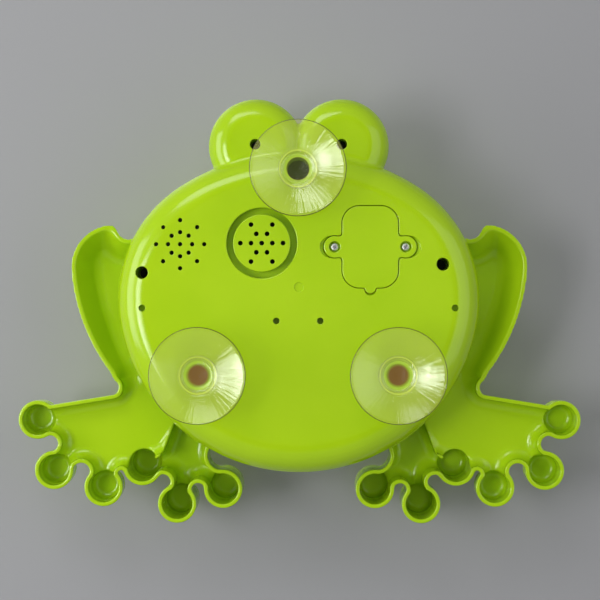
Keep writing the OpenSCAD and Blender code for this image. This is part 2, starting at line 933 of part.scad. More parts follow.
module air_tube() {
  color(white_plastic) upright() difference() {
    disc(nozzle, tube_r, fan_end_d, tray_d - fan_end_d);
    disc(nozzle, tube_bore_r, fan_end_d - 1, tray_d);
  }
}

module motor_can() {
  color(steel) upright() at(fan, fan_end_d) difference() {
    linear_extrude(motor_length) motor_outline(0);
    translate([0, 0, -1]) cylinder(h = 2 * motor_length, r = motor_shaft_r + fit);
  }
}

module motor_end_cap() {
  color(black_plastic) upright() at(fan, fan_end_d + motor_length) difference() {
    union() {
      linear_extrude(end_cap_length / 2) motor_outline(0);
      cylinder(h = end_cap_length, r = motor_r / 3);
    }
    translate([0, 0, -1]) cylinder(h = motor_length, r = motor_shaft_r + fit);
  }
}

module motor_shaft() {
  start = impeller_d + impeller_disc;
  color(steel) upright() disc(fan, motor_shaft_r, start, pinion_d + pinion_t + 1 - start);
}

module impeller() {
  color(black_plastic) upright() at(fan, impeller_d) difference() {
    union() {
      cylinder(h = impeller_h, r = impeller_hub_r);
      translate([0, 0, impeller_h - impeller_disc]) cylinder(h = impeller_disc, r = impeller_r);
      linear_extrude(impeller_h) intersection() {
        circle(impeller_r);
        for (i = [0:blade_count - 1])
          rotate(360 * i / blade_count) translate([impeller_hub_r / 2, 0]) rotate(blade_sweep)
            translate([0, -blade_t / 2]) square([2 * impeller_r, blade_t]);
      }
    }
    translate([0, 0, impeller_disc]) cylinder(h = impeller_h, r = motor_shaft_r);
  }
}

// Involute gear, with a tooth centred on the direction turn
function involute(a) = tan(a) * 180 / PI - a;
function half_tooth(teeth, r) =
  90 / teeth - backlash / pitch_r(teeth) * 90 / PI + involute(pressure_angle)
  - involute(acos(min(1, pitch_r(teeth) * cos(pressure_angle) / r)));
function tooth(teeth, turn) =
  let (root = pitch_r(teeth) - dedendum, tip = pitch_r(teeth) + addendum,
       base = pitch_r(teeth) * cos(pressure_angle), low = max(root, base),
       radii = [low, (low + tip) / 2, tip], foot = half_tooth(teeth, low))
  concat(
    root < base ? [polar(root, turn - foot)] : [],
    [for (i = [0:2]) polar(radii[i], turn - half_tooth(teeth, radii[i]))],
    [for (i = [2:-1:0]) polar(radii[i], turn + half_tooth(teeth, radii[i]))],
    root < base ? [polar(root, turn + foot)] : []
  );

module gear_outline(teeth, turn) {
  polygon([for (i = [0:teeth - 1]) each tooth(teeth, turn + 360 * i / teeth)]);
}

module motor_pinion() {
  color(white_plastic) upright() at(fan, pinion_d) linear_extrude(pinion_t) difference() {
    gear_outline(pinion_teeth, bearing(fan, lay));
    circle(motor_shaft_r);
  }
}

module layshaft() {
  color(steel) upright() disc(lay, lay_shaft_r, lay_shaft_d, lay_shaft_end - lay_shaft_d);
}

module layshaft_gear() {
  color(white_plastic) upright() at(lay, lay_gear_d) linear_extrude(gear_t) difference() {
    gear_outline(lay_teeth, bearing(lay, fan) + 180 / lay_teeth);
    circle(lay_shaft_r);
  }
}

module rim_pinion() {
  color(white_plastic) upright() at(lay, rim_d) linear_extrude(rim_t) difference() {
    gear_outline(pinion_teeth, bearing(lay, wheel));
    circle(lay_shaft_r);
  }
}

module shaft_bush() {
  color(brass) upright() difference() {
    disc(lay, bush_r, bush_d, tray_d + tray_wall - bush_d);
    disc(lay, lay_shaft_r + fit, bush_d - 1, tray_d);
  }
}

module bubble_wheel() {
  color(sun_yellow) upright() at(wheel) difference() {
    union() {
      translate([0, 0, rim_d]) linear_extrude(rim_t) difference() {
        union() {
          difference() {
            gear_outline(wheel_teeth, bearing(wheel, lay) + 180 / wheel_teeth);
            circle(rim_in_r);
          }
          for (i = [0:ring_count - 1]) {
            translate(polar(ring_reach, ring_turn + 360 * i / ring_count)) circle(ring_out_r);
            rotate(ring_turn + 360 * i / ring_count) translate([0, -spoke_w / 2])
              square([ring_reach - ring_in_r, spoke_w]);
          }
        }
        for (i = [0:ring_count - 1])
          translate(polar(ring_reach, ring_turn + 360 * i / ring_count)) circle(ring_in_r);
      }
      translate([0, 0, wheel_hub_d]) cylinder(h = wheel_hub_t, r = wheel_hub_r);
    }
    cylinder(h = front_d, r = axle_r + fit);
  }
}

module wheel_axle() {
  color(steel) upright() {
    disc(wheel, axle_r, axle_d, axle_end - axle_d);
    disc(wheel, axle_head_r, axle_head_d, axle_end - axle_head_d);
  }
}

// Outline of the bubble chamber: a bowl, with room above it for the wheel and its pinion
module tray_outline(w) {
  intersection() {
    translate([0, tray_y]) circle(tray_r + w);
    translate([-far, -far]) square([2 * far, far + tray_top + w]);
  }
  translate(wheel) circle(wheel_room + w);
  translate(lay) circle(pinion_room + w);
}

module tray_bowl() {
  front = tray_front_d - tray_wall;
  difference() {
    union() {
      translate([0, 0, tray_d]) linear_extrude(tray_front_d - tray_d) tray_outline(tray_wall);
      translate([0, 0, mouth_depth_d]) linear_extrude(tray_front_d - mouth_depth_d)
        mouth_outline(mouth_room + tray_wall);
      translate([0, 0, front]) linear_extrude(lip_d - front) mouth_outline(0);
    }
    translate([0, 0, tray_d + tray_wall]) linear_extrude(front - tray_d - tray_wall) tray_outline(0);
    translate([0, 0, mouth_depth_d + tray_wall]) linear_extrude(front - mouth_depth_d - tray_wall)
      mouth_outline(mouth_room);
    translate([0, 0, front - 1]) linear_extrude(front_d) mouth_outline(-mouth_lip);
  }
}

module bubble_tray() {
  color(lip_orange) upright() difference() {
    union() {
      tray_bowl();
      disc(nozzle, nozzle_r, tray_d + 1, nozzle_d - tray_d - 1);
      disc(wheel, axle_boss_r, axle_d, axle_boss_d - axle_d);
      disc(lay, bush_r + tray_wall, bush_d, tray_d + 1 - bush_d);
      for (a = tray_ears)
        translate([0, 0, tray_ear_d]) linear_extrude(tray_ear_t) difference() {
          hull_of_discs([0, tray_y] + polar(tray_r, a), tray_ear_r + 1, tray_ear(a), tray_ear_r);
          translate([0, tray_y]) circle(tray_r + tray_wall / 2);
        }
    }
    disc(nozzle, nozzle_bore_r, tray_d - 1, tray_wall + nozzle_d);
    disc(wheel, axle_r, axle_d - 1, front_d);
    disc(lay, bush_r, bush_d - 1, tray_d + tray_wall);
    for (a = tray_ears)
      disc(tray_ear(a), pilot_r, tray_d, tray_wall + tray_ear_t + tray_ear_d - tray_d);
  }
}

module tray_screws() {
  color(steel) upright() for (a = tray_ears)
    screw(tray_ear(a), tray_ear_d, screw_r, eye_head_r, tray_screw_length);
}

module circuit_board() {
  color(board_green) upright() difference() {
    translate([board_x[0], board_y[0], board_d])
      cube([board_x[1] - board_x[0], board_y[1] - board_y[0], board_t]);
    for (p = board_posts)
      disc(p, pilot_r, board_d - 1, board_t + 2);
  }
}

module driver_chip() {
  color(black_plastic) upright() at(chip, board_d - chip_t) cylinder(h = chip_t, r = chip_r);
}

module board_screws() {
  color(steel) upright() for (p = board_posts)
    screw(p, board_d, screw_r, eye_head_r, board_screw_length);
}

module tact_switch(x) {
  color(black_plastic) upright() at([x, button_y], board_d + board_t) {
    translate([-switch_w / 2, -switch_w / 2]) cube([switch_w, switch_w, switch_h]);
    cylinder(h = switch_h + plunger_h, r = plunger_r);
  }
}

// Push button with its retaining flange, its stem over the switch and a shallow crown
module push_button(x, tint) {
  crown_r = (pow(button_r, 2) + pow(button_crown, 2)) / (2 * button_crown);
  color(tint) upright() at([x, button_y]) rotate_extrude() {
    translate([0, button_stem_d]) square([button_stem_r, button_flange_t]);
    translate([0, button_flange_d]) square([button_flange_r, button_flange_t]);
    translate([0, button_flange_d]) square([button_r, button_top_d - button_flange_d]);
    intersection() {
      translate([0, button_top_d + button_crown - crown_r]) circle(crown_r);
      translate([0, button_top_d - eps]) square([button_r, 2 * button_crown]);
    }
  }
}

module at_pupil(eye) {
  at(eye, ball_d) rotate([0, -sign(eye.x) * pupil_turn, 0]) children();
}

module eyeball(eye) {
  post_end = ball_d + ball_r - eye_wall / 2;
  color(white_plastic) upright() difference() {
    at(eye) rotate_extrude() {
      difference() {
        union() {
          intersection() {
            translate([0, ball_d]) circle(ball_r);
            translate([0, eye_neck_d]) square([eye_neck_r, ball_r]);
          }
          translate([0, eye_neck_d - eye_flange_t]) square([eye_flange_r, eye_flange_t + eps]);
        }
        intersection() {
          translate([0, ball_d]) circle(ball_r - eye_wall);
          square([eye_neck_r - eye_wall, front_d]);
        }
      }
      translate([pilot_r, post_d]) square([eye_post_r - pilot_r, post_end - post_d]);
      translate([0, post_d + screw_length]) square([eye_post_r, post_end - post_d - screw_length]);
    }
    at_pupil(eye) cylinder(h = 2 * ball_r, r = pupil_stem_r + fit);
  }
}

module pupil(eye) {
  color(black_plastic) upright() at_pupil(eye) rotate_extrude() {
    intersection() {
      difference() {
        circle(ball_r + pupil_t);
        circle(ball_r + fit);
      }
      square([pupil_r, 2 * ball_r]);
    }
    translate([0, ball_r - eye_wall / 2]) square([pupil_stem_r, eye_wall / 2 + pupil_t / 2]);
  }
}

module case_screws() {
  color(steel) upright() {
    for (eye = eyes)
      screw(eye, screw_floor_d, screw_r, eye_head_r, screw_length);
    for (p = side_screws)
      screw(p, screw_floor_d, screw_r, side_head_r, screw_length);
  }
}

back_cover();
front_shell();
left_legs();
right_legs();
suction_cup(cups[0]);  // suction_cup_top
suction_cup(cups[1]);  // suction_cup_left
suction_cup(cups[2]);  // suction_cup_right
battery_door();
door_seal();
door_contacts();
door_screws();
battery_box();
battery_cells();
contact_springs();
speaker_frame();
speaker_cone();
speaker_magnet();
fan_housing();
fan_screws();
air_tube();
motor_can();
motor_end_cap();
motor_shaft();
impeller();
motor_pinion();
layshaft();
layshaft_gear();
rim_pinion();
shaft_bush();
bubble_wheel();
wheel_axle();
bubble_tray();
tray_screws();
circuit_board();
driver_chip();
board_screws();
tact_switch(-button_x);  // power_switch
tact_switch(button_x);  // music_switch
push_button(-button_x, button_red);  // power_button
push_button(button_x, sun_yellow);  // music_button
eyeball(eyes[0]);  // left_eye
eyeball(eyes[1]);  // right_eye
pupil(eyes[0]);  // left_pupil
pupil(eyes[1]);  // right_pupil
case_screws();
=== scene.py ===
import json
import math

import bpy
import numpy as np
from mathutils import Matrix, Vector


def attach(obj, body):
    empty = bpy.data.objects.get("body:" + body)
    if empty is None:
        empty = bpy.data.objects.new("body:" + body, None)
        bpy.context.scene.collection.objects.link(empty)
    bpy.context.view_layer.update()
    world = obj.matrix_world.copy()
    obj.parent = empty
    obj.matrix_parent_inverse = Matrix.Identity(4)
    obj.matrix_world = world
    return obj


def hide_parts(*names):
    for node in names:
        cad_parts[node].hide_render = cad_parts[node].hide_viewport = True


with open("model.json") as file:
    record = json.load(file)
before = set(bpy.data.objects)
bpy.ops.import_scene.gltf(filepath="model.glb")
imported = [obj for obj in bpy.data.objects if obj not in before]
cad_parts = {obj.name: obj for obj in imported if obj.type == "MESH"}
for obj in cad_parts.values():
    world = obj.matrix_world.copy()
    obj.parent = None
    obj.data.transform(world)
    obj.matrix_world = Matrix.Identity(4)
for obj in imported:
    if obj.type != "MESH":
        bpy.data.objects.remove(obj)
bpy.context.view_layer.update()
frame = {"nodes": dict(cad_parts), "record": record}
nodes = frame["nodes"]
scene = bpy.context.scene
scene.view_settings.view_transform = "Standard"
print("frame loaded:", len(nodes), "nodes")

# camera and stage
cameraSet = {
    "place": Vector((-0.0085, 0.640, -0.0016)), "aim": Vector((-0.0008, -0.017, 0.0031)), "lens": 83.5, "sensor": 36,
}
camera = bpy.data.objects.new("camera", bpy.data.cameras.new("camera"))
camera.location = cameraSet["place"]
gaze = cameraSet["aim"] - cameraSet["place"]  # at the frog's back
camera.rotation_euler = gaze.to_track_quat("-Z", "Y").to_euler()
camera.data.lens = cameraSet["lens"]
camera.data.sensor_width = cameraSet["sensor"]
scene.collection.objects.link(camera)
scene.camera = camera


def newMaterial(name, **sockets):
    material = bpy.data.materials.new(name)
    material.use_nodes = True
    shader = material.node_tree.nodes["Principled BSDF"]
    for socket, value in sockets.items():
        shader.inputs[socket].default_value = value
    return material, material.node_tree, shader


def link(tree, fromNode, fromSocket, toNode, toSocket):
    tree.links.new(fromNode.outputs[fromSocket], toNode.inputs[toSocket])


def objectCoords(tree, scale):
    coords = tree.nodes.new("ShaderNodeTexCoord")
    mapping = tree.nodes.new("ShaderNodeMapping")
    mapping.inputs["Scale"].default_value = (scale, scale, scale)
    link(tree, coords, "Object", mapping, "Vector")
    return mapping


def noise(tree, scale, detail=2.0):
    node = tree.nodes.new("ShaderNodeTexNoise")
    node.inputs["Scale"].default_value = scale
    node.inputs["Detail"].default_value = detail
    link(tree, objectCoords(tree, 1.0), "Vector", node, "Vector")
    return node


def ramp(tree, source, stops):
    node = tree.nodes.new("ShaderNodeValToRGB")
    for i, (place, colour) in enumerate(stops):
        stop = node.color_ramp.elements[i] if i < 2 else node.color_ramp.elements.new(place)
        stop.position = place
        stop.color = colour
    link(tree, source, "Fac", node, "Fac")
    return node


def grain(tree, shader, scale, strength, distance):
    fine = noise(tree, scale, 3.0)
    bump = tree.nodes.new("ShaderNodeBump")
    bump.inputs["Strength"].default_value = strength
    bump.inputs["Distance"].default_value = distance
    link(tree, fine, "Fac", bump, "Height")
    link(tree, bump, "Normal", shader, "Normal")


def grey(value):
    return (value, value, value, 1)


# finish of the skins: size of the patches of drift, and scale, strength and depth of the grain
skinSet = {
    "ior": 1.5, "coatRoughness": 0.06, "patch": 35.0, "grain": (900.0, 0.05, 0.0002),
    "streak": 700.0, "metalGrain": (1500.0, 0.08, 0.0001),
}


def mouldedPlastic(name, low, high, roughness, coat):
    # slow drift of colour and gloss from the flow of the melt, and a very fine skin
    material, tree, shader = newMaterial(name, **{
        "Coat Weight": coat, "Coat Roughness": skinSet["coatRoughness"], "IOR": skinSet["ior"]})
    drift = noise(tree, skinSet["patch"])
    link(tree, ramp(tree, drift, [(0.3, low), (0.7, high)]), "Color", shader, "Base Color")
    gloss = ramp(tree, drift, [(0.25, grey(roughness[0])), (0.75, grey(roughness[1]))])
    link(tree, gloss, "Color", shader, "Roughness")
    grain(tree, shader, *skinSet["grain"])
    return material


def metal(name, colour, roughness):
    material, tree, shader = newMaterial(name, **{"Metallic": 1.0, "Base Color": colour})
    streak = noise(tree, skinSet["streak"], 4.0)
    gloss = ramp(tree, streak, [(0.3, grey(roughness[0])), (0.7, grey(roughness[1]))])
    link(tree, gloss, "Color", shader, "Roughness")
    grain(tree, shader, *skinSet["metalGrain"])
    return material


finishes = {  # darker and lighter colour, range of roughness, weight of the clear coat
    "limePlastic": ((0.355, 0.567, 0.0060, 1), (0.385, 0.597, 0.0070, 1), (0.13, 0.18), 0.0),
    "orangePlastic": ((0.80, 0.13, 0.018, 1), (0.86, 0.15, 0.022, 1), (0.18, 0.26), 0.2),
    "yellowPlastic": ((0.90, 0.58, 0.018, 1), (0.95, 0.62, 0.022, 1), (0.18, 0.26), 0.2),
    "redPlastic": ((0.68, 0.030, 0.022, 1), (0.74, 0.036, 0.026, 1), (0.18, 0.26), 0.2),
    "whitePlastic": ((0.82, 0.82, 0.79, 1), (0.87, 0.87, 0.84, 1), (0.14, 0.20), 0.3),
    "blackPlastic": ((0.010, 0.010, 0.011, 1), (0.016, 0.016, 0.017, 1), (0.20, 0.30), 0.2),
    "blackFoam": ((0.010, 0.010, 0.011, 1), (0.016, 0.016, 0.017, 1), (0.75, 0.85), 0.0),
    "boardLaminate": ((0.010, 0.110, 0.028, 1), (0.014, 0.130, 0.034, 1), (0.3, 0.4), 0.2),
    "cellJacket": ((0.030, 0.042, 0.075, 1), (0.036, 0.050, 0.086, 1), (0.25, 0.32), 0.2),
    # nearly black steel as painted shade for the case screws at the bottom of their deep holes
    "screwHoleShadeSteel": ((0.006, 0.006, 0.006, 1), (0.010, 0.010, 0.010, 1), (0.5, 0.6), 0.0),
}
looks = {name: mouldedPlastic(name, *values) for name, values in finishes.items()}
limePlastic = looks["limePlastic"]
platedSteel = metal("platedSteel", (0.90, 0.90, 0.91, 1), (0.40, 0.50))
turnedBrass = metal("turnedBrass", (0.72, 0.48, 0.17, 1), (0.22, 0.32))

vinylSet = {
    "roughness": 0.25, "ior": 1.45, "clear": (0.995, 0.998, 0.975, 1), "gloss": 0.05, "sheen": 1.65,
    "tint": [(0.0, (0.92, 0.97, 0.13, 1)), (1.0, (0.045, 0.06, 0.012, 1)),  # from the vinyl's pale haze to black painted shade
             (0.5, (0.55, 0.85, 0.06, 1)), (0.75, (0.235, 0.125, 0.03, 1))],  # by painted green highlight and brown painted shade
    "cloud": 60.0, "drift": [(0.3, (0.94, 0.94, 0.90, 1)), (0.7, (1, 1, 1, 1))],
    "marks": (90, 1.2, 1), "markStrength": 0.45, "markDepth": 0.0004,
    "slant": [(0.0, grey(0)), (1.0, grey(0.30)), (0.12, grey(0.12))],  # duller than glass when seen aslant
}


def clearVinyl(name):
    # soft clear vinyl: seen through, a little milky, with a glossy skin and fine marks that run out from the hub;
    # where its attributes ask, it is painted over with painted shade and painted highlight
    material, tree, shader = newMaterial(name, **{"Roughness": vinylSet["roughness"], "IOR": vinylSet["ior"]})
    # the milk attribute makes the vinyl opaque where the second attribute paints shade or a highlight on it; the
    # third scales the gloss
    milk, paintedLightAndShade, shine = [tree.nodes.new("ShaderNodeAttribute") for each in range(3)]
    milk.attribute_name, paintedLightAndShade.attribute_name, shine.attribute_name = "milk", "paintedLightAndShade", "shine"
    tint = ramp(tree, paintedLightAndShade, vinylSet["tint"])
    drift = ramp(tree, noise(tree, vinylSet["cloud"]), vinylSet["drift"])
    shade = tree.nodes.new("ShaderNodeMix")
    shade.data_type = "RGBA"
    shade.blend_type = "MULTIPLY"
    shade.inputs["Factor"].default_value = 1.0
    link(tree, tint, "Color", shade, "A")
    link(tree, drift, "Color", shade, "B")
    link(tree, shade, "Result", shader, "Base Color")
    clear = tree.nodes.new("ShaderNodeBsdfTransparent")
    clear.inputs["Color"].default_value = vinylSet["clear"]
    milky = tree.nodes.new("ShaderNodeMixShader")
    link(tree, milk, "Fac", milky, 0)
    link(tree, clear, 0, milky, 1)
    link(tree, shader, 0, milky, 2)
    around = tree.nodes.new("ShaderNodeUVMap")
    around.uv_map = "around"
    stretch = tree.nodes.new("ShaderNodeMapping")
    stretch.inputs["Scale"].default_value = vinylSet["marks"]
    link(tree, around, "UV", stretch, "Vector")
    marks = tree.nodes.new("ShaderNodeTexNoise")
    marks.inputs["Scale"].default_value = 1.0
    marks.inputs["Detail"].default_value = 3.0
    link(tree, stretch, "Vector", marks, "Vector")
    bump = tree.nodes.new("ShaderNodeBump")
    bump.inputs["Strength"].default_value = vinylSet["markStrength"]
    bump.inputs["Distance"].default_value = vinylSet["markDepth"]
    link(tree, marks, "Fac", bump, "Height")
    skin = tree.nodes.new("ShaderNodeBsdfGlossy")
    skin.inputs["Roughness"].default_value = vinylSet["gloss"]
    link(tree, bump, "Normal", skin, "Normal")
    slant = tree.nodes.new("ShaderNodeFresnel")
    slant.inputs["IOR"].default_value = vinylSet["sheen"]
    gleam = tree.nodes.new("ShaderNodeMath")
    gleam.operation = "MULTIPLY"
    link(tree, ramp(tree, slant, vinylSet["slant"]), "Color", gleam, 0)
    link(tree, shine, "Fac", gleam, 1)
    glossy = tree.nodes.new("ShaderNodeMixShader")
    link(tree, gleam, 0, glossy, 0)
    link(tree, milky, 0, glossy, 1)
    link(tree, skin, 0, glossy, 2)
    link(tree, glossy, 0, tree.nodes["Material Output"], "Surface")
    return material


vinyl = clearVinyl("clearVinyl")
print("materials made")

slotLooks = {
    "shell_green": limePlastic, "clear_vinyl": vinyl, "black_plastic": looks["blackPlastic"],
    "black_rubber": looks["blackFoam"], "steel": platedSteel, "brass": turnedBrass,
    "cell_jacket": looks["cellJacket"], "white_plastic": looks["whitePlastic"],
    "orange_plastic": looks["orangePlastic"], "yellow_plastic": looks["yellowPlastic"],
    "red_plastic": looks["redPlastic"], "board": looks["boardLaminate"],
}
slotOfNode = {part["node"]: part["material_slot"] for part in frame["record"]["subparts"]}
for nodeName, nodeObject in nodes.items():
    nodeObject.data.materials.clear()
    nodeObject.data.materials.append(slotLooks[slotOfNode[nodeName]])
# the case screws are painted nearly black: painted shade of their deep holes
nodes["case_screws"].data.materials[0] = looks["screwHoleShadeSteel"]


# lying coordinates in millimetres (across, up the frog, depth from the wall) to metres in the frame
def stood(points):
    points = np.asarray(points, float) / 1000
    return np.stack([points[:, 0], -points[:, 2], points[:, 1]], 1)


def addPiece(name, points, faces, material, smooth=True):
    mesh = bpy.data.meshes.new(name)
    mesh.from_pydata(stood(points).tolist(), [], faces)
    mesh.polygons.foreach_set("use_smooth", [smooth] * len(mesh.polygons))
    mesh.materials.append(material)
    mesh.update()
    piece = bpy.data.objects.new(name, mesh)
    scene.collection.objects.link(piece)
    return piece


def smoothMin(a, b, k):
    h = np.clip(0.5 + 0.5 * (b - a) / k, 0, 1)
    return b * (1 - h) + a * h - k * h * (1 - h)


def smoothMax(a, b, k):
    return -smoothMin(-a, -b, k)


def filletMin(a, b, r):
    # union with a round fillet of radius r in the corner
    return np.maximum(r, np.minimum(a, b)) - np.hypot(np.maximum(r - a, 0), np.maximum(r - b, 0))


def roundEdge(a, b, r):
    # both sides kept, with the edge between them rounded to radius r
    qa, qb = a + r, b + r
    return np.minimum(np.maximum(qa, qb), 0) + np.hypot(np.maximum(qa, 0), np.maximum(qb, 0)) - r


def disc(x, y, centre, r):
    return np.hypot(x - centre[0], y - centre[1]) - r


def polygonField(x, y, points):
    best = np.full(np.shape(x), 1e9)
    sign = np.ones(np.shape(x))
    for i, (ax, ay) in enumerate(points):
        bx, by = points[i - 1]
        ex, ey = bx - ax, by - ay
        wx, wy = x - ax, y - ay
        t = np.clip((wx * ex + wy * ey) / (ex * ex + ey * ey), 0, 1)
        best = np.minimum(best, (wx - ex * t) ** 2 + (wy - ey * t) ** 2)
        above = y >= ay
        below = y < by
        left = ex * wy > ey * wx
        flip = (above & below & left) | (~above & ~below & ~left)
        sign = np.where(flip, -sign, sign)
    return sign * np.sqrt(best)


netSet = {"pulls": 4, "leastSlope": 0.2, "reach": 0.02}


# smooth skin of a solid given by a signed field, drawn as a net of quads and pulled onto the surface
def netSurface(field, low, high, step):
    counts = [int(math.ceil((high[i] - low[i]) / step)) + 1 for i in range(3)]
    axes = [low[i] + step * np.arange(counts[i]) for i in range(3)]
    value = field(*np.meshgrid(*axes, indexing="ij"))
    inside = value < 0
    corners = [(i, j, k) for i in (0, 1) for j in (0, 1) for k in (0, 1)]
    held = sum(inside[i:counts[0] - 1 + i, j:counts[1] - 1 + j, k:counts[2] - 1 + k].astype(np.int8)
               for i, j, k in corners)
    cells = np.argwhere((held > 0) & (held < 8))
    total = np.zeros((len(cells), 3))
    hits = np.zeros(len(cells))
    for axis in range(3):
        for start in corners:
            if start[axis]:
                continue
            first = cells + start
            last = first.copy()
            last[:, axis] += 1
            a, b = value[tuple(first.T)], value[tuple(last.T)]
            cross = (a < 0) != (b < 0)
            t = a / np.where(cross, a - b, 1)
            place = first.astype(float)
            place[:, axis] += t
            total += place * cross[:, None]
            hits += cross
    points = np.asarray(low) + step * total / hits[:, None]
    number = np.full([c - 1 for c in counts], -1)
    number[tuple(cells.T)] = np.arange(len(cells))
    quads = []
    for axis in range(3):
        u, v = (axis + 1) % 3, (axis + 2) % 3
        ahead = [slice(None)] * 3
        behind = [slice(None)] * 3
        ahead[axis], behind[axis] = slice(1, None), slice(None, -1)
        edges = np.argwhere(inside[tuple(behind)] != inside[tuple(ahead)])
        edges = edges[(edges[:, u] > 0) & (edges[:, v] > 0)
                      & (edges[:, u] < counts[u] - 1) & (edges[:, v] < counts[v] - 1)]
        ring = []
        for du, dv in [(-1, -1), (0, -1), (0, 0), (-1, 0)]:
            cell = edges.copy()
            cell[:, u] += du
            cell[:, v] += dv
            ring.append(number[tuple(cell.T)])
        quad = np.stack(ring, 1)
        outward = inside[tuple(edges.T)]
        quads.append(np.where(outward[:, None], quad, quad[:, ::-1]))
    faces = np.concatenate(quads)
    for pull in range(netSet["pulls"]):
        slope = fieldSlope(field, points)
        f = field(*points.T)
        size = np.maximum((slope ** 2).sum(1), netSet["leastSlope"])
        points = points - np.clip(f / size, -step, step)[:, None] * slope
    slope = fieldSlope(field, points)
    return points, faces, slope / np.maximum(np.linalg.norm(slope, axis=1), 1e-6)[:, None]


def fieldSlope(field, points):
    slope, reach = np.zeros_like(points), netSet["reach"]
    for axis in range(3):
        shift = np.zeros(3)
        shift[axis] = reach
        slope[:, axis] = (field(*(points + shift).T) - field(*(points - shift).T)) / (2 * reach)
    return slope


def moulded(name, field, low, high, step, material):
    points, faces, normals = netSurface(field, low, high, step)
    piece = addPiece(name, points, faces.tolist(), material)
    piece.data.normals_split_custom_set_from_vertices((stood(normals * 1000)).tolist())
    print(name, len(faces), "quads")
    return piece


# a turned piece: a closed profile of (radius, depth) points about an axis
def turned(name, profile, centre, material, segments=128):
    points, faces = [], []
    rows = []
    for r, d in profile:
        if r < 1e-6:
            rows.append([len(points)])
            points.append((centre[0], centre[1], d))
            continue
        rows.append(list(range(len(points), len(points) + segments)))
        for i in range(segments):
            a = 2 * math.pi * i / segments
            points.append((centre[0] + r * math.cos(a), centre[1] + r * math.sin(a), d))
    closed = len(rows[0]) > 1 and len(rows[-1]) > 1
    for k in range(len(rows) if closed else len(rows) - 1):
        a, b = rows[k], rows[(k + 1) % len(rows)]
        for i in range(segments):
            j = (i + 1) % segments
            if len(a) == 1 and len(b) == 1:
                break
            if len(a) == 1:
                faces.append((a[0], b[j], b[i]))
            elif len(b) == 1:
                faces.append((a[i], a[j], b[0]))
            else:
                faces.append((a[i], a[j], b[j], b[i]))
    return addPiece(name, points, faces, material)


# the oval body, its eyes and its depths
body = {
    "sideR": 64.5, "sideX": 22.5, "sideY": 3.6, "crownHalf": 33, "bellyDip": 10, "wall": 2.2,
    "plate": 17, "parting": 42, "front": 86, "backRound": 14, "frontRound": 38,
    "eyeX": 20.7, "eyeY": 77.6, "eyeR": 23.0, "eyeBack": 24, "eyeRound": 11,
    "eyeCrease": 1.6, "partingEdge": 0.8,
}
crownY = body["sideY"] - body["sideX"] / math.tan(math.radians(body["crownHalf"]))
crownR = body["sideR"] + body["sideX"] / math.sin(math.radians(body["crownHalf"]))
bellyY = body["sideY"] + body["sideX"] * math.tan(math.radians(body["bellyDip"]))
bellyR = body["sideR"] + body["sideX"] / math.cos(math.radians(body["bellyDip"]))
eyes = [(body["eyeX"], body["eyeY"]), (-body["eyeX"], body["eyeY"])]
cups = {"top": (0, 64), "left": (46.5, -32), "right": (-46.5, -32)}
sideScrews = [(74.2, 16.1), (-68.3, 20)]


def ovalField(x, y):
    side = disc(np.abs(x), y, (body["sideX"], body["sideY"]), body["sideR"])
    crown = disc(x, y, (0, crownY), crownR)
    belly = disc(x, y, (0, bellyY), bellyR)
    inCrown = np.abs(x) <= (y - crownY) * math.tan(math.radians(body["crownHalf"]))
    inBelly = (bellyY - y) >= np.abs(x) * math.tan(math.radians(body["bellyDip"]))
    low = np.where(inBelly, belly, side)
    return np.where(inCrown & inBelly, np.maximum(crown, belly), np.where(inCrown, crown, low))


def bodyBack(x, y, d):
    return roundEdge(ovalField(x, y), body["plate"] - d, body["backRound"])


def bodyFront(x, y, d):
    return roundEdge(ovalField(x, y), d - body["front"], body["frontRound"])


cover = {
    "step": 1.15, "low": (-91, -83, 14), "high": (91, 104, 44.5),
    "socketR": 8.8, "socketEdge": 0.8, "socketEnd": 25, "socketFillet": 1.0, "cupHoleR": 5.05, "cupHole": (12, 30),
    "bossR": 4.8, "eyeBossR": 4.3, "bossTop": 19, "bossEnd": 38,
    "screwFloor": 36, "screwR": 3.0, "eyeScrewR": 2.5, "screwRim": 0.5,
    "speaker": (55.9, 29.5), "grilleR": 1.0, "grillePitch": 5.7, "grilleCount": 8,
    "fan": (17.3, 30), "intakeR": 1.1, "intakePitch": 5.05, "intakeCount": 6, "ventRim": 0.35, "ventEnd": 26,
    "grooveIn": 13.6, "grooveOut": 16.7, "grooveDeep": 6.4, "grooveWall": 1.5, "grooveRim": 0.5,
    "blindTop": 18, "blindWall": 1.2,
    "dimple": (74, -0.7), "dimpleR": 1.6, "dimpleRim": 0.2, "dimpleFloor": 21.6, "dimpleEnd": 23,
    "peg": (10.4, -6.8), "pegR": 1.5, "pegRim": 0.35, "pegFloor": 26, "pegEnd": 27,
    "gate": (-0.3, 9.2), "gateR": 2.2, "gateRim": 0.3, "gateFloor": 17.6,
}


def post(x, y, d, centre, r, top, bottom):
    return np.maximum(np.maximum(disc(x, y, centre, r), top - d), d - bottom)


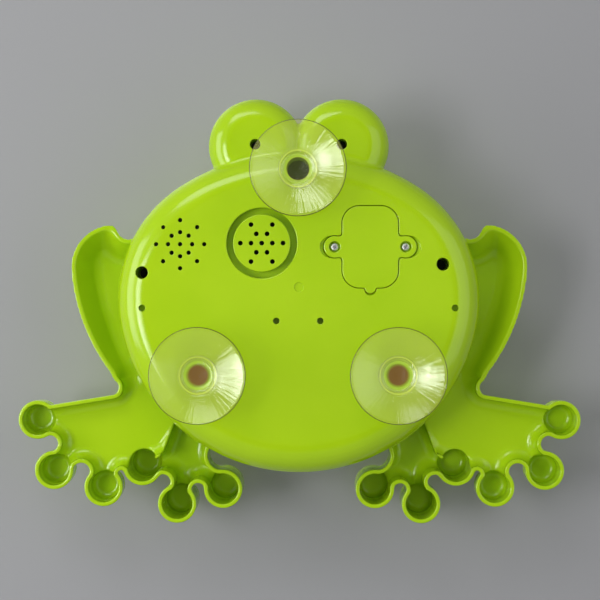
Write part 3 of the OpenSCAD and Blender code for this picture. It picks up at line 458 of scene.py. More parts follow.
def coverField(x, y, d):
    outer = bodyBack(x, y, d)
    for eye in eyes:
        bulge = roundEdge(disc(x, y, eye, body["eyeR"]), body["eyeBack"] - d, body["eyeRound"])
        outer = filletMin(outer, bulge, body["eyeCrease"])
    inner = outer + body["wall"]
    socket = roundEdge(disc(x, y, cups["top"], cover["socketR"]), body["plate"] - d, cover["socketEdge"])
    socket = np.maximum(socket, d - cover["socketEnd"])
    outer = filletMin(outer, socket, cover["socketFillet"])
    shell = np.minimum(np.maximum(outer, -inner), socket)
    for eye in eyes:
        shell = np.minimum(shell, post(x, y, d, eye, cover["eyeBossR"], body["eyeBack"] + 1, cover["bossEnd"]))
    for place in sideScrews:
        shell = np.minimum(shell, post(x, y, d, place, cover["bossR"], cover["bossTop"], cover["bossEnd"]))
    for mark in ("dimple", "peg"):  # blind holes in bosses of their own, one on each side
        r = cover[mark + "R"] + cover["blindWall"]
        shell = np.minimum(shell, post(np.abs(x), y, d, cover[mark], r, cover["blindTop"], cover[mark + "End"]))
    groove = np.maximum(disc(x, y, cover["fan"], cover["grooveOut"] + cover["grooveWall"]),
                        -disc(x, y, cover["fan"], cover["grooveIn"] - cover["grooveWall"]))
    grooveEnd = body["plate"] + cover["grooveDeep"] + cover["grooveWall"]
    shell = np.minimum(shell, np.maximum(np.maximum(groove, cover["blindTop"] - d), d - grooveEnd))
    return smoothMax(shell, d - body["parting"], body["partingEdge"])


# a cutter for a round hole that flares at the plate, so the hole's rim comes out rounded
def holeProfile(r, rim, bottom, top=body["plate"]):
    above = top - 4  # well clear of the plate
    flare = []
    for turn in range(0, 91, 15):
        a = math.radians(turn)
        flare.append((r + rim - rim * math.sin(a), top + rim - rim * math.cos(a)))
    return [(0, above), (r + rim, above)] + flare + [(r, bottom), (0, bottom)]


def roundedBox(x, y, centre, w, h, r):
    qx, qy = np.abs(x - centre[0]) - w / 2 + r, np.abs(y - centre[1]) - h / 2 + r
    return np.minimum(np.maximum(qx, qy), 0) + np.hypot(np.maximum(qx, 0), np.maximum(qy, 0)) - r


door = {
    "centre": (-34, 28.2), "w": 26.6, "h": 38.8, "r": 8.3, "earX": 16.8, "earR": 5.2, "fillet": 2.4,
    "tabR": 2.7, "tabFillet": 0.6, "thick": 1.6, "edge": 0.55, "gap": 0.3, "ledge": 19.4,
    "earDeep": 4.4, "earGap": 0.1,
    "pocketR": 2.6, "pocketEdge": 0.5, "seat": 20, "boreR": 1.3,
    "scoop": 1.7, "scoopDeep": 1.3, "tabScoop": 0.9, "tabScoopDeep": 1.0,
    "wellW": 24.6, "wellH": 36.2, "wellR": 7.2, "wellEnd": 24, "above": 13,
    "step": 0.42, "low": (-58, 4, 15.5), "high": (-10, 50, 23),
    "cutStep": 0.5, "cutLow": (-60, 4, 11.6), "cutHigh": (-8, 52, 25),
}


def doorOutline(x, y):
    cx, cy = door["centre"]
    outline = roundedBox(x, y, door["centre"], door["w"], door["h"], door["r"])
    for side in (-1, 1):
        outline = filletMin(outline, disc(x, y, (cx + side * door["earX"], cy), door["earR"]), door["fillet"])
    return filletMin(outline, disc(x, y, (cx, cy - door["h"] / 2), door["tabR"]), door["tabFillet"])


def doorField(x, y, d):
    cx, cy = door["centre"]
    slab = roundEdge(doorOutline(x, y), body["plate"] - d, door["edge"])
    slab = np.maximum(slab, d - body["plate"] - door["thick"])
    for side in (-1, 1):
        ear = (cx + side * door["earX"], cy)
        boss = roundEdge(disc(x, y, ear, door["earR"]), body["plate"] - d, door["edge"])
        slab = np.minimum(slab, np.maximum(boss, d - body["plate"] - door["earDeep"]))
        pocket = np.maximum(disc(x, y, ear, door["pocketR"]), d - door["seat"])
        slab = smoothMax(slab, -np.minimum(pocket, disc(x, y, ear, door["boreR"])), door["pocketEdge"])
    return slab


def recessField(x, y, d):
    # what is cut from the plate for the door: its outline, and a finger scoop beside each ear and below the tab
    cx, cy = door["centre"]
    hollow = np.maximum(doorOutline(x, y) - door["gap"], d - door["ledge"])
    for side in (-1, 1):
        ear = (cx + side * door["earX"], cy)
        scoop = disc(x, y, (ear[0] + side * door["scoop"], cy), door["earR"])
        hollow = np.minimum(hollow, np.maximum(scoop, d - body["plate"] - door["scoopDeep"]))
        seat = disc(x, y, ear, door["earR"] + door["gap"])
        hollow = np.minimum(hollow, np.maximum(seat, d - body["plate"] - door["earDeep"] - door["earGap"]))
    scoop = disc(x, y, (cx, cy - door["h"] / 2 - door["tabScoop"]), door["tabR"])
    hollow = np.minimum(hollow, np.maximum(scoop, d - body["plate"] - door["tabScoopDeep"]))
    well = roundedBox(x, y, door["centre"], door["wellW"], door["wellH"], door["wellR"])
    hollow = np.minimum(hollow, np.maximum(well, d - door["wellEnd"]))
    return np.maximum(hollow, door["above"] - d)


def cutAway(piece, cutters):
    for cutter in cutters:
        cut = piece.modifiers.new("cut", "BOOLEAN")
        cut.operation = "DIFFERENCE"
        cut.solver = "EXACT"
        cut.object = cutter
        finishModifiers(piece)
        bpy.data.objects.remove(cutter)


def finishModifiers(piece):
    evaluated = piece.evaluated_get(bpy.context.evaluated_depsgraph_get())
    mesh = bpy.data.meshes.new_from_object(evaluated)
    piece.modifiers.clear()
    piece.data = mesh


def joined(name, pieces):
    points, faces = [], []
    for piece in pieces:
        start = len(points)
        points += [tuple(v.co) for v in piece.data.vertices]
        faces += [tuple(start + i for i in p.vertices) for p in piece.data.polygons]
        bpy.data.objects.remove(piece)
    mesh = bpy.data.meshes.new(name)
    mesh.from_pydata(points, [], faces)
    mesh.materials.append(limePlastic)
    both = bpy.data.objects.new(name, mesh)
    scene.collection.objects.link(both)
    return both


# perforations and screws are set out by Geometry Nodes
def nodeTree(name, sockets):
    tree = bpy.data.node_groups.new(name, "GeometryNodeTree")
    tree.interface.new_socket("Geometry", in_out="INPUT", socket_type="NodeSocketGeometry")
    for socketName, kind in sockets:
        tree.interface.new_socket(socketName, in_out="INPUT", socket_type=kind)
    tree.interface.new_socket("Geometry", in_out="OUTPUT", socket_type="NodeSocketGeometry")
    return tree, tree.nodes.new("NodeGroupInput"), tree.nodes.new("NodeGroupOutput")


def runTree(name, tree, inputs, mesh=None):
    piece = bpy.data.objects.new(name, mesh or bpy.data.meshes.new(name))
    scene.collection.objects.link(piece)
    modifier = piece.modifiers.new("build", "NODES")
    modifier.node_group = tree
    for item in tree.interface.items_tree:
        if item.in_out == "INPUT" and item.name in inputs:
            modifier[item.identifier] = inputs[item.name]
    finishModifiers(piece)
    return piece


def ringTree():
    tree, entry, leave = nodeTree("perforation", [
        ("Pitch", "NodeSocketFloat"), ("Holes in a ring", "NodeSocketInt"), ("Cutter", "NodeSocketObject"),
        ("Centre", "NodeSocketVector"), ("Finish", "NodeSocketMaterial")])
    join = tree.nodes.new("GeometryNodeJoinGeometry")
    middle = tree.nodes.new("GeometryNodePoints")
    middle.inputs["Count"].default_value = 1
    link(tree, middle, 0, join, 0)
    for ring in (1, 2):
        circle = tree.nodes.new("GeometryNodeMeshCircle")
        reach = tree.nodes.new("ShaderNodeMath")
        reach.operation = "MULTIPLY"
        reach.inputs[1].default_value = ring
        link(tree, entry, "Pitch", reach, 0)
        link(tree, entry, "Holes in a ring", circle, "Vertices")
        link(tree, reach, 0, circle, "Radius")
        link(tree, circle, "Mesh", join, 0)
    place = tree.nodes.new("GeometryNodeTransform")
    place.inputs["Rotation"].default_value = (math.pi / 2, 0, 0)
    link(tree, join, 0, place, "Geometry")
    link(tree, entry, "Centre", place, "Translation")
    cutter = tree.nodes.new("GeometryNodeObjectInfo")
    link(tree, entry, "Cutter", cutter, "Object")
    spread = tree.nodes.new("GeometryNodeInstanceOnPoints")
    link(tree, place, "Geometry", spread, "Points")
    link(tree, cutter, "Geometry", spread, "Instance")
    real = tree.nodes.new("GeometryNodeRealizeInstances")
    finish = tree.nodes.new("GeometryNodeSetMaterial")
    link(tree, spread, "Instances", real, "Geometry")
    link(tree, real, "Geometry", finish, "Geometry")
    link(tree, entry, "Finish", finish, "Material")
    link(tree, finish, "Geometry", leave, "Geometry")
    return tree


perforation = ringTree()


def drilled(name, place, r, rim, bottom, top=body["plate"], segments=48):
    return turned(name, holeProfile(r, rim, bottom, top), place, limePlastic, segments)


def perforate(name, centre, pitch, count, r):
    cutter = drilled(name + "Cutter", (0, 0), r, cover["ventRim"], cover["ventEnd"], segments=32)
    at = (centre[0] / 1000, 0, centre[1] / 1000)
    holes = runTree(name, perforation, {"Pitch": pitch / 1000, "Holes in a ring": count, "Cutter": cutter,
                                        "Centre": at, "Finish": limePlastic})
    bpy.data.objects.remove(cutter)
    return holes


def makeCover():
    piece = moulded("backCover", coverField, cover["low"], cover["high"], cover["step"], limePlastic)
    holes = [perforate(name, cover[place], cover[mark + "Pitch"], cover[mark + "Count"], cover[mark + "R"])
             for name, place, mark in (("speakerHoles", "speaker", "grille"), ("intakeHoles", "fan", "intake"))]
    grooveFloor = body["plate"] + cover["grooveDeep"]
    outer = holeProfile(cover["grooveOut"], cover["grooveRim"], grooveFloor)[1:-1]
    inner = holeProfile(cover["grooveIn"], cover["grooveRim"], grooveFloor)[1:-1]
    inner = [(2 * cover["grooveIn"] - r, d) for r, d in inner]
    holes.append(turned("grooveCutter", outer + inner[::-1], cover["fan"], limePlastic, 128))
    for i, place in enumerate(sideScrews):
        holes.append(drilled(f"sideHole{i}", place, cover["screwR"], cover["screwRim"], cover["screwFloor"]))
    for i, place in enumerate(eyes):
        holes.append(drilled(f"eyeHole{i}", place, cover["eyeScrewR"], cover["screwRim"], cover["screwFloor"],
                             body["eyeBack"]))
    for i, sign in enumerate((-1, 1)):
        for mark in ("peg", "dimple"):
            place = (sign * cover[mark][0], cover[mark][1])
            holes.append(drilled(f"{mark}{i}", place, cover[mark + "R"], cover[mark + "Rim"], cover[mark + "Floor"],
                                 segments=32))
    holes.append(drilled("gateMark", cover["gate"], cover["gateR"], cover["gateRim"], cover["gateFloor"],
                         segments=32))
    top, bottom = cover["cupHole"]
    r = cover["cupHoleR"]
    for place in cups.values():
        holes.append(turned("cupHole", [(0, top), (r, top), (r, bottom), (0, bottom)], place, limePlastic, 48))
    cutAway(piece, [joined("holes", holes)])
    recess = moulded("recess", recessField, door["cutLow"], door["cutHigh"], door["cutStep"], limePlastic)
    cutAway(piece, [recess])
    flat = piece.modifiers.new("normals", "WEIGHTED_NORMAL")
    flat.keep_sharp = True
    return piece


backCover = makeCover()
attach(backCover, "frog")
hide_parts("back_cover")
print("back cover made")

batteryDoor = moulded("batteryDoor", doorField, door["low"], door["high"], door["step"], limePlastic)
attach(batteryDoor, "battery_door")
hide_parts("battery_door")

# the door's two screws: pan heads with a cross recess, set out by Geometry Nodes
screw = {
    "headR": 1.85, "headRound": 0.6, "crown": 0.05, "top": 18.2, "seat": 20,
    "r": 1.2, "end": 29, "tip": 0.8, "tipR": 0.6,
    "crossW": 0.7, "crossL": 2.4, "crossDeep": 1.4, "crossTurn": 0.5, "crossTaper": 0.55,
}


def screwTree():
    tree, entry, leave = nodeTree("screwPair", [
        ("Spacing", "NodeSocketFloat"), ("Screw", "NodeSocketObject"), ("Middle", "NodeSocketVector"),
        ("Finish", "NodeSocketMaterial")])
    line = tree.nodes.new("GeometryNodeMeshLine")
    line.mode = "END_POINTS"
    line.inputs["Count"].default_value = 2
    ends = []
    for sign in (-0.5, 0.5):
        reach = tree.nodes.new("ShaderNodeMath")
        reach.operation = "MULTIPLY"
        reach.inputs[1].default_value = sign
        link(tree, entry, "Spacing", reach, 0)
        end = tree.nodes.new("ShaderNodeCombineXYZ")
        link(tree, reach, 0, end, "X")
        ends.append(end)
    link(tree, ends[0], 0, line, "Start Location")
    link(tree, ends[1], 0, line, "Offset")
    place = tree.nodes.new("GeometryNodeSetPosition")
    link(tree, line, "Mesh", place, "Geometry")
    link(tree, entry, "Middle", place, "Offset")
    head = tree.nodes.new("GeometryNodeObjectInfo")
    link(tree, entry, "Screw", head, "Object")
    spread = tree.nodes.new("GeometryNodeInstanceOnPoints")
    link(tree, place, "Geometry", spread, "Points")
    link(tree, head, "Geometry", spread, "Instance")
    real = tree.nodes.new("GeometryNodeRealizeInstances")
    finish = tree.nodes.new("GeometryNodeSetMaterial")
    link(tree, spread, "Instances", real, "Geometry")
    link(tree, real, "Geometry", finish, "Geometry")
    link(tree, entry, "Finish", finish, "Material")
    link(tree, finish, "Geometry", leave, "Geometry")
    return tree


def bar(name, turn):
    # a tapered bar of the cross recess
    w, l, top = screw["crossW"], screw["crossL"], screw["top"]
    points = []
    for d, k in ((top - 0.5, 1.0), (top + screw["crossDeep"], screw["crossTaper"])):
        for sx, sy in ((-1, -1), (1, -1), (1, 1), (-1, 1)):
            x, y = sx * w * k / 2, sy * l * k / 2
            points.append((x * math.cos(turn) - y * math.sin(turn), x * math.sin(turn) + y * math.cos(turn), d))
    faces = [(3, 2, 1, 0), (4, 5, 6, 7), (1, 5, 4, 0), (2, 6, 5, 1), (3, 7, 6, 2), (0, 4, 7, 3)]
    return addPiece(name, points, faces, platedSteel, False)


def oneScrew():
    top, seat, r, end = screw["top"], screw["seat"], screw["headR"], screw["end"]
    edge, crown = screw["headRound"], screw["crown"]
    profile = [(0, top), (r - edge - 0.2, top + crown)]
    for turn in range(15, 91, 15):
        a = math.radians(turn)
        profile.append((r - edge + edge * math.sin(a), top + crown + edge - edge * math.cos(a)))
    profile += [(r, seat), (screw["r"], seat), (screw["r"], end - screw["tip"]), (screw["tipR"], end), (0, end)]
    piece = turned("screwForm", profile, (0, 0), platedSteel, 40)
    cutAway(piece, [bar("crossA", screw["crossTurn"])])
    cutAway(piece, [bar("crossB", screw["crossTurn"] + math.pi / 2)])
    return piece


screwForm = oneScrew()
doorScrews = runTree("doorScrews", screwTree(), {
    "Spacing": 2 * door["earX"] / 1000, "Screw": screwForm, "Finish": platedSteel,
    "Middle": (door["centre"][0] / 1000, 0, door["centre"][1] / 1000)})
bpy.data.objects.remove(screwForm)
flat = doorScrews.modifiers.new("normals", "WEIGHTED_NORMAL")
flat.keep_sharp = True
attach(doorScrews, "battery_door")
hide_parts("door_screws")
print("door and its screws made")

# front shell
mouth = {
    "low": -28, "top": 4, "lowR": 50, "topR": 230, "gap": 0.15, "edge": 1.2, "from": 70,
    "buttons": [(-15, 36), (15, 36)], "buttonR": 7.1, "eyeHoleR": 13.4, "lidR": 17.8, "lidDeep": 50,
    "step": 1.2, "boxLow": (-91, -83, 39.5), "boxHigh": (91, 104, 89),
}


def ballField(x, y, d, centre, deep, r):
    return np.sqrt((x - centre[0]) ** 2 + (y - centre[1]) ** 2 + (d - deep) ** 2) - r


def mouthField(x, y, grow):
    lower = disc(x, y, (0, mouth["low"] + mouth["lowR"]), mouth["lowR"] + grow)
    upper = (mouth["topR"] - grow) - np.hypot(x, y - mouth["top"] - mouth["topR"])
    return np.maximum(lower, upper)


def frontField(x, y, d):
    outer = bodyFront(x, y, d)
    for eye in eyes:
        outer = filletMin(outer, ballField(x, y, d, eye, body["parting"], body["eyeR"]), body["eyeCrease"])
    shell = np.maximum(outer, -(outer + body["wall"]))
    openings = np.maximum(mouthField(x, y, mouth["gap"]), mouth["from"] - d)
    for eye in eyes:
        lid = ballField(x, y, d, eye, mouth["lidDeep"], mouth["lidR"])  # close round the ball
        opening = np.maximum(np.maximum(disc(x, y, eye, mouth["eyeHoleR"]), lid), mouth["lidDeep"] - d)
        openings = np.minimum(openings, opening)
    for place in mouth["buttons"]:
        openings = np.minimum(openings, np.maximum(disc(x, y, place, mouth["buttonR"]), mouth["from"] - d))
    shell = smoothMax(shell, -openings, mouth["edge"])
    return smoothMax(shell, body["parting"] - d, body["partingEdge"])


frontShell = moulded("frontShell", frontField, mouth["boxLow"], mouth["boxHigh"], mouth["step"], limePlastic)
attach(frontShell, "frog")
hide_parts("front_shell")

# legs: thigh and two feet of one side, open at the back
leg = {
    "toes": [(128.4, -55.5), (120.3, -80.2), (96, -88.5), (76.9, -78.2), (59.8, -96.6), (37.2, -89.3)],
    "toeR": 9.15, "toeHind": 11.6, "toeFore": 24.6, "toeCap": 5.0, "webR": [4, 4.2, 1.8, 3.6, 3.2],
    "hindDeep": 11, "foreDeep": 24, "sole": 7.5, "soft": 1.2, "armpit": (37.6, -73), "instep": 9.3, "instepLong": 32,
    "hindInner": [(65.3, -72.9), (57, -61.5), (51, -48), (72, -28), (84, -24)],
    "foreInner": [(58, -50), (64, -57.5), (69.2, -71.5)], "foreTop": -46,
    "thigh": (91.1, 19.4), "thighR": 21.1, "knee": (92.1, -39.5), "kneeR": 3.9, "kneeSoft": 5.0, "kneePast": 8,
    "notch": (83.9, 38.5), "notchR": 5.1, "notchSoft": 5.0, "shinR": 95, "ankle": (84, -36),
    "thighDrop": 5.0, "thighRun": 34, "thighSlope": 0.6, "thighRound": 5.0,
    "wall": 2.0, "wallSoft": 0.4, "rim": 0.6, "planGrow": 0.35,
    "ledge": 2.0, "ledgeFrom": 43.2, "ledgeTo": 47, "ledgeRound": 0.6, "ledgeEdge": 1,
    "step": 0.9, "reach": (24, 141), "low": (-109, 39.5), "high": (41, 73),
}


def meet(a, ra, b, rb):
    d = math.dist(a, b)
    ux, uy = (b[0] - a[0]) / d, (b[1] - a[1]) / d
    s = (ra * ra - rb * rb + d * d) / (2 * d)
    h = math.sqrt(max(ra * ra - s * s, 0))
    return (a[0] + s * ux + h * uy, a[1] + s * uy - h * ux)


toes = leg["toes"]
webs = [meet(toes[i], leg["toeR"] + r, toes[i + 1], leg["toeR"] + r) for i, r in enumerate(leg["webR"])]
armpitR = math.dist(leg["armpit"], toes[5]) - leg["toeR"]
shin = meet(leg["thigh"], leg["shinR"] - leg["thighR"], leg["knee"], leg["shinR"] + leg["kneeR"])


def footOutline(x, y, first, last, points):
    outline = polygonField(x, y, points)
    for i in range(first, last + 1):
        outline = np.minimum(outline, disc(x, y, toes[i], leg["toeR"]))
    for place, r in list(zip(webs, leg["webR"])) + [(leg["armpit"], armpitR), (leg["knee"], leg["kneeR"])]:
        outline = np.maximum(outline, -disc(x, y, place, r))
    return outline


def hindOutline(x, y):
    a = math.radians(90 - leg["instep"])
    knee = leg["knee"]
    heel = (knee[0] - leg["kneeR"] * math.cos(a), knee[1] - leg["kneeR"] * math.sin(a))
    b = math.radians(-leg["instep"])
    ball = (heel[0] + leg["instepLong"] * math.cos(b), heel[1] + leg["instepLong"] * math.sin(b))
    chain = [toes[0], webs[0], toes[1], webs[1], toes[2], webs[2], toes[3]]
    return footOutline(x, y, 0, 3, chain + leg["hindInner"] + [knee, heel, ball])


def foreOutline(x, y):
    chain = [toes[3], webs[3], toes[4], webs[4], toes[5], leg["armpit"], (leg["armpit"][0], leg["foreTop"])]
    return footOutline(x, y, 3, 5, chain + leg["foreInner"])


def thighOutline(x, y):
    # the thigh's round top, and below the ray through its centre the long arc of the shin, ended past the knee
    upper, lower = [math.atan2(leg[mark][1] - shin[1], leg[mark][0] - shin[0]) for mark in ("thigh", "knee")]
    lower -= math.radians(leg["kneePast"])
    turn = np.arctan2(y - shin[1], x - shin[0])
    outline = np.where(turn > upper, disc(x, y, leg["thigh"], leg["thighR"]), disc(x, y, shin, leg["shinR"]))
    outline = np.maximum(outline, math.sin(lower) * (x - shin[0]) - math.cos(lower) * (y - shin[1]))
    outline = smoothMax(outline, -disc(x, y, leg["notch"], leg["notchR"]), leg["notchSoft"])
    return np.maximum(outline, -disc(x, y, leg["knee"], leg["kneeR"]))


def thighForm(x, y, d):
    # a tray with sloping sides, whose floor falls away from the ankle to the hip
    ax, ay = leg["ankle"]
    tx, ty = leg["thigh"]
    reach = math.dist(leg["ankle"], leg["thigh"])
    t = np.clip(((x - ax) * (tx - ax) + (y - ay) * (ty - ay)) / reach / leg["thighRun"], 0, 1)
    deep = leg["hindDeep"] + leg["thighDrop"] * t * t * (3 - 2 * t)
    side = (thighOutline(x, y) + leg["thighSlope"] * (d - body["parting"])) / math.hypot(1, leg["thighSlope"])
    return roundEdge(side, d - body["parting"] - deep, leg["thighRound"])


def legForm(x, y, d):
    deep = d - body["parting"]
    hind, fore, thigh = hindOutline(x, y), foreOutline(x, y), thighOutline(x, y)
    form = smoothMin(roundEdge(hind, deep - leg["hindDeep"], leg["sole"]),
                     roundEdge(fore, deep - leg["foreDeep"], leg["sole"]), leg["soft"])
    for i, toe in enumerate(toes):
        end = (leg["toeHind"] if i < 3 else leg["toeFore"]) + leg["toeCap"]
        form = smoothMin(form, roundEdge(disc(x, y, toe, leg["toeR"]), deep - end, leg["toeCap"]), leg["soft"])
    form = smoothMin(form, thighForm(x, y, d), leg["kneeSoft"])
    plan = np.minimum(np.minimum(hind, fore), thigh)
    return np.maximum(form, plan - leg["planGrow"])  # the blends don't spill past the outline


def legField(x, y, d):
    form = legForm(x, y, d)
    shell = smoothMax(form, -(form + leg["wall"]), leg["wallSoft"])
    shell = smoothMax(shell, body["parting"] - d, leg["rim"])
    band = np.maximum(leg["ledgeFrom"] - d, d - leg["ledgeTo"])
    ledge = roundEdge(ovalField(x, y) - leg["ledge"], band, leg["ledgeRound"])  # the front shell's rim
    shell = np.minimum(shell, np.maximum(ledge, foreOutline(x, y) + leg["ledgeEdge"]))
    return np.maximum(shell, -bodyFront(x, y, d))


for side, sign in (("left", 1), ("right", -1)):
    def sideField(x, y, d):
        return legField(sign * x, y, d)
    low, high = sorted(sign * reach for reach in leg["reach"])
    legs = moulded(side + "Legs", sideField, (low,) + leg["low"], (high,) + leg["high"], leg["step"], limePlastic)
    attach(legs, "frog")
    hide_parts(side + "_legs")

# suction cups: the dish is a cone inside, so a lamp shows on it as a fan from hub to lip
cup = {
    "r": 22.5, "lip": 0.9, "lipFlat": 1.0, "flatR": 7.4, "hollow": 4.4, "crown": 6.6, "bulge": 0.4, "segments": 128,
    "hubR": 8.2, "hubFoot": 1.4, "hubEnd": 16.9, "stemR": 5.0, "plateIn": 19.2, "headR": 7.0, "headDeep": 4.5,
    # haze is the vinyl's own milkiness; the ring and hub values paint a highlight ring, the rim values a thin line of
    # painted shade at the lip, the core values the painted shade of the hole seen through the hub
    "haze": 0.105, "rimLine": 0.9, "rimPaintedShade": 0.97, "rimShine": 0.1, "ring": 8.5, "ringW": 0.8, "paintedHighlightMilk": 0.6,
    "coreR": 5.2, "core": 0.8, "coreShine": 0.35,
    "paintedCoreShade": {"top": (1, 0.3), "left": (0.75, 0.9), "right": (0.75, 0.9)},  # painted shade of the core, blur of its edge
}


def cupProfile(paintedLightAndShade, soft):
    # rows of (radius, depth, milk, painted light and shade, shine) from the hollow's middle round the lip to the end
    # of the locking head
    haze, highlightMilk, core, gleam = cup["haze"], cup["paintedHighlightMilk"], cup["core"], cup["coreShine"]
    r, lip, floor, coreR, flatR = cup["r"], cup["lip"], cup["hollow"], cup["coreR"], cup["flatR"]
    edge = r - cup["lipFlat"]
    # the middle is painted in shade for the dark hole seen through the hub, ringed by painted green light over the
    # plate in the hub's shadow
    rows = [(0, floor + 0.7, core, paintedLightAndShade, gleam), (coreR - soft, floor + 0.5, core, paintedLightAndShade, gleam),
            (coreR, floor + 0.47, 0.6, paintedLightAndShade * 0.85, 0.8), (coreR + soft, floor + 0.43, 0.5, 0.42, 1),
            (flatR - 0.3, floor + 0.15, 0.4, 0.38, 1)]
    for i in range(25):
        at = flatR + (edge - flatR) * i / 24
        ring = max(0, 1 - abs(at - cup["ring"]) / cup["ringW"])  # painted highlight where the hub begins
        rows.append((at, floor * (1 - i / 24), haze + (highlightMilk - haze) * ring, 0.3 * ring, 1))
    # a thin painted dark line of shade at the lip
    line = (cup["rimLine"], cup["rimPaintedShade"], cup["rimShine"])
    rows += [(edge + 0.05, 0.0, haze, 0, 1), (r - 0.42, 0.0, haze, 0, 1), (r - 0.36, 0.0) + line,
             (r - 0.1, 0.2) + line, (r, 0.5) + line, (r, lip) + line, (r - 0.1, lip + 0.05, haze, 0, 1)]
    foot, hubR, stemR, headR = cup["crown"], cup["hubR"], cup["stemR"], cup["headR"]
    for i in range(1, 13):
        t = i / 12
        at = r - 0.1 - (r - 0.1 - hubR - cup["hubFoot"]) * t
        rows.append((at, lip + (foot - lip) * t + cup["bulge"] * math.sin(math.pi * t), haze, 0, 1))
    end, seat = cup["hubEnd"], cup["plateIn"]
    head = seat + cup["headDeep"]
    # the hub wall is tinted towards painted green, its end painted green over its shadow, the stem and head in
    # painted shade
    rows += [(hubR + 0.55, foot + 0.5, haze, 0.2, 1), (hubR, foot + 1.7, haze, 0.2, 1),
             (hubR, end - 0.4, haze, 0.2, 1), (hubR - 0.3, end, 0.5, 0.4, 1), (stemR + 0.1, end, 0.5, 0.5, 1),
             (stemR, end, 0.3, paintedLightAndShade, 1), (stemR, seat + 0.05, 0.5, paintedLightAndShade, 1), (headR, seat + 0.1, 0.5, paintedLightAndShade, 1),
             (headR, seat + 1, 0.5, paintedLightAndShade, 1), (stemR, head, core, paintedLightAndShade, 1), (0, head, core, paintedLightAndShade, 1)]
    return rows


def marked(piece, rows, segments):
    # milk, painted light and shade, and shine for each row of points, and a map with the angle across and the row up
    counts = [1 if row[0] < 1e-6 else segments for row in rows]
    for k, name in ((2, "milk"), (3, "paintedLightAndShade"), (4, "shine")):
        values = np.repeat([row[k] for row in rows], counts)
        piece.data.attributes.new(name, "FLOAT", "POINT").data.foreach_set("value", values)
    angle = np.concatenate([np.arange(count) / segments for count in counts])
    height = np.repeat(np.arange(len(rows)) / len(rows), counts)
    layer = piece.data.uv_layers.new(name="around")
    for face in piece.data.polygons:
        us = [angle[v] for v in face.vertices]
        wrap = max(us) - min(us) > 0.5
        for corner, v in zip(face.loop_indices, face.vertices):
            u = angle[v] + (1 if wrap and angle[v] < 0.5 else 0)
            layer.data[corner].uv = (u, height[v])


for cupName, centre in cups.items():
    rows = cupProfile(*cup["paintedCoreShade"][cupName])
    profile = [row[:2] for row in rows]
    suctionCup = turned("suctionCup" + cupName.capitalize(), profile, centre, vinyl, cup["segments"])
    marked(suctionCup, rows, cup["segments"])
    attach(suctionCup, "frog")
    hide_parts("suction_cup_" + cupName)
print("cups made")

# stage: a plain grey sheet that the frog lies on, seen from its own side only and no bar to the lamps
stageSet = {"depth": -0.0893, "size": 6.0, "grey": (0.30, 0.30, 0.31, 1), "roughness": 0.7}
sheetMesh = bpy.data.meshes.new("backdrop")
half, depth = stageSet["size"] / 2, stageSet["depth"]
sheetMesh.from_pydata([(half, depth, -half), (-half, depth, -half), (-half, depth, half), (half, depth, half)],
                      [], [(0, 1, 2, 3)])
backdrop = bpy.data.objects.new("backdrop", sheetMesh)
scene.collection.objects.link(backdrop)
sheetLook, tree, shader = newMaterial("backdropGrey", **{
    "Base Color": stageSet["grey"], "Roughness": stageSet["roughness"]})
oneSide = tree.nodes.new("ShaderNodeMixShader")
clear = tree.nodes.new("ShaderNodeBsdfTransparent")
facing = tree.nodes.new("ShaderNodeNewGeometry")
path = tree.nodes.new("ShaderNodeLightPath")
seeThrough = tree.nodes.new("ShaderNodeMath")
seeThrough.operation = "MAXIMUM"
link(tree, facing, "Backfacing", seeThrough, 0)
link(tree, path, "Is Shadow Ray", seeThrough, 1)
link(tree, seeThrough, 0, oneSide, 0)
link(tree, shader, "BSDF", oneSide, 1)
link(tree, clear, "BSDF", oneSide, 2)
link(tree, oneSide, "Shader", tree.nodes["Material Output"], "Surface")
sheetMesh.materials.append(sheetLook)

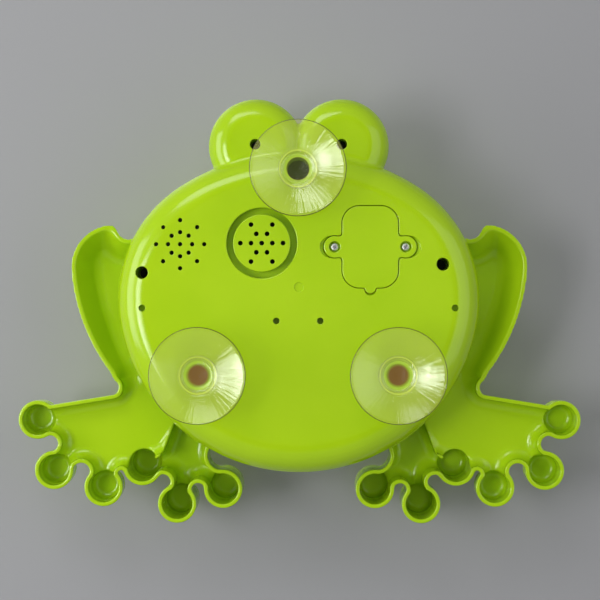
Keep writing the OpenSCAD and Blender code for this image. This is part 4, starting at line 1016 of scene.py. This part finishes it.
# soft light from the left, and a little from all round
lampSet = {
    "key": {"place": (0.64, 0.90, 0.0), "size": (0.38, 0.44), "power": 4.0},
    "window": {"place": (1.05, 0.42, 0.10), "size": (0.55, 0.9), "power": 5.5},
    "streak": {"place": (0.66, 0.88, -0.22), "size": (0.07, 0.30), "power": 0.9},
    "sky": {"place": (0.35, 0.80, 0.85), "size": (0.7, 0.35), "power": 3.0},
    "wall": {"place": (-1.0, 0.75, 0.1), "size": (1.1, 1.3), "power": 3.8},
    "front": {"place": (0.55, -1.1, 0.75), "size": (0.9, 0.7), "power": 18.0},
    "lens": {"place": (-0.05, 1.30, 0.05), "size": (0.5, 0.5), "power": 2.5},
}
for lampName, values in lampSet.items():
    lamp = bpy.data.lights.new(lampName, "AREA")
    lamp.shape = "RECTANGLE"
    lamp.size, lamp.size_y = values["size"]
    lamp.energy = values["power"]
    lampObject = bpy.data.objects.new(lampName, lamp)
    lampObject.location = values["place"]
    lampObject.rotation_euler = (-lampObject.location).to_track_quat("-Z", "Y").to_euler()
    lampObject.visible_glossy = lampName != "lens"  # fills the hollows without a highlight
    scene.collection.objects.link(lampObject)
roomSet = {"colour": (0.95, 0.97, 1.0, 1), "strength": 0.29, "lensSide": 0.03, "lensFrom": 0.84, "lensTo": 0.93}
world = bpy.data.worlds.new("studio")
world.use_nodes = True
tree = world.node_tree
tree.nodes["Background"].inputs["Color"].default_value = roomSet["colour"]
direction = tree.nodes.new("ShaderNodeTexCoord")
axes = tree.nodes.new("ShaderNodeSeparateXYZ")
shade = tree.nodes.new("ShaderNodeMapRange")  # the room is dark behind the lens
shade.inputs["From Min"].default_value = roomSet["lensFrom"]
shade.inputs["From Max"].default_value = roomSet["lensTo"]
shade.inputs["To Min"].default_value = roomSet["strength"]
seen = tree.nodes.new("ShaderNodeMapRange")  # but even where it is looked at straight
seen.inputs["To Min"].default_value = roomSet["lensSide"]
seen.inputs["To Max"].default_value = roomSet["strength"]
link(tree, tree.nodes.new("ShaderNodeLightPath"), "Is Camera Ray", seen, "Value")
link(tree, seen, "Result", shade, "To Max")
link(tree, direction, "Generated", axes, "Vector")
link(tree, axes, "Y", shade, "Value")
link(tree, shade, "Result", tree.nodes["Background"], "Strength")
scene.world = world
print("stage and light set")
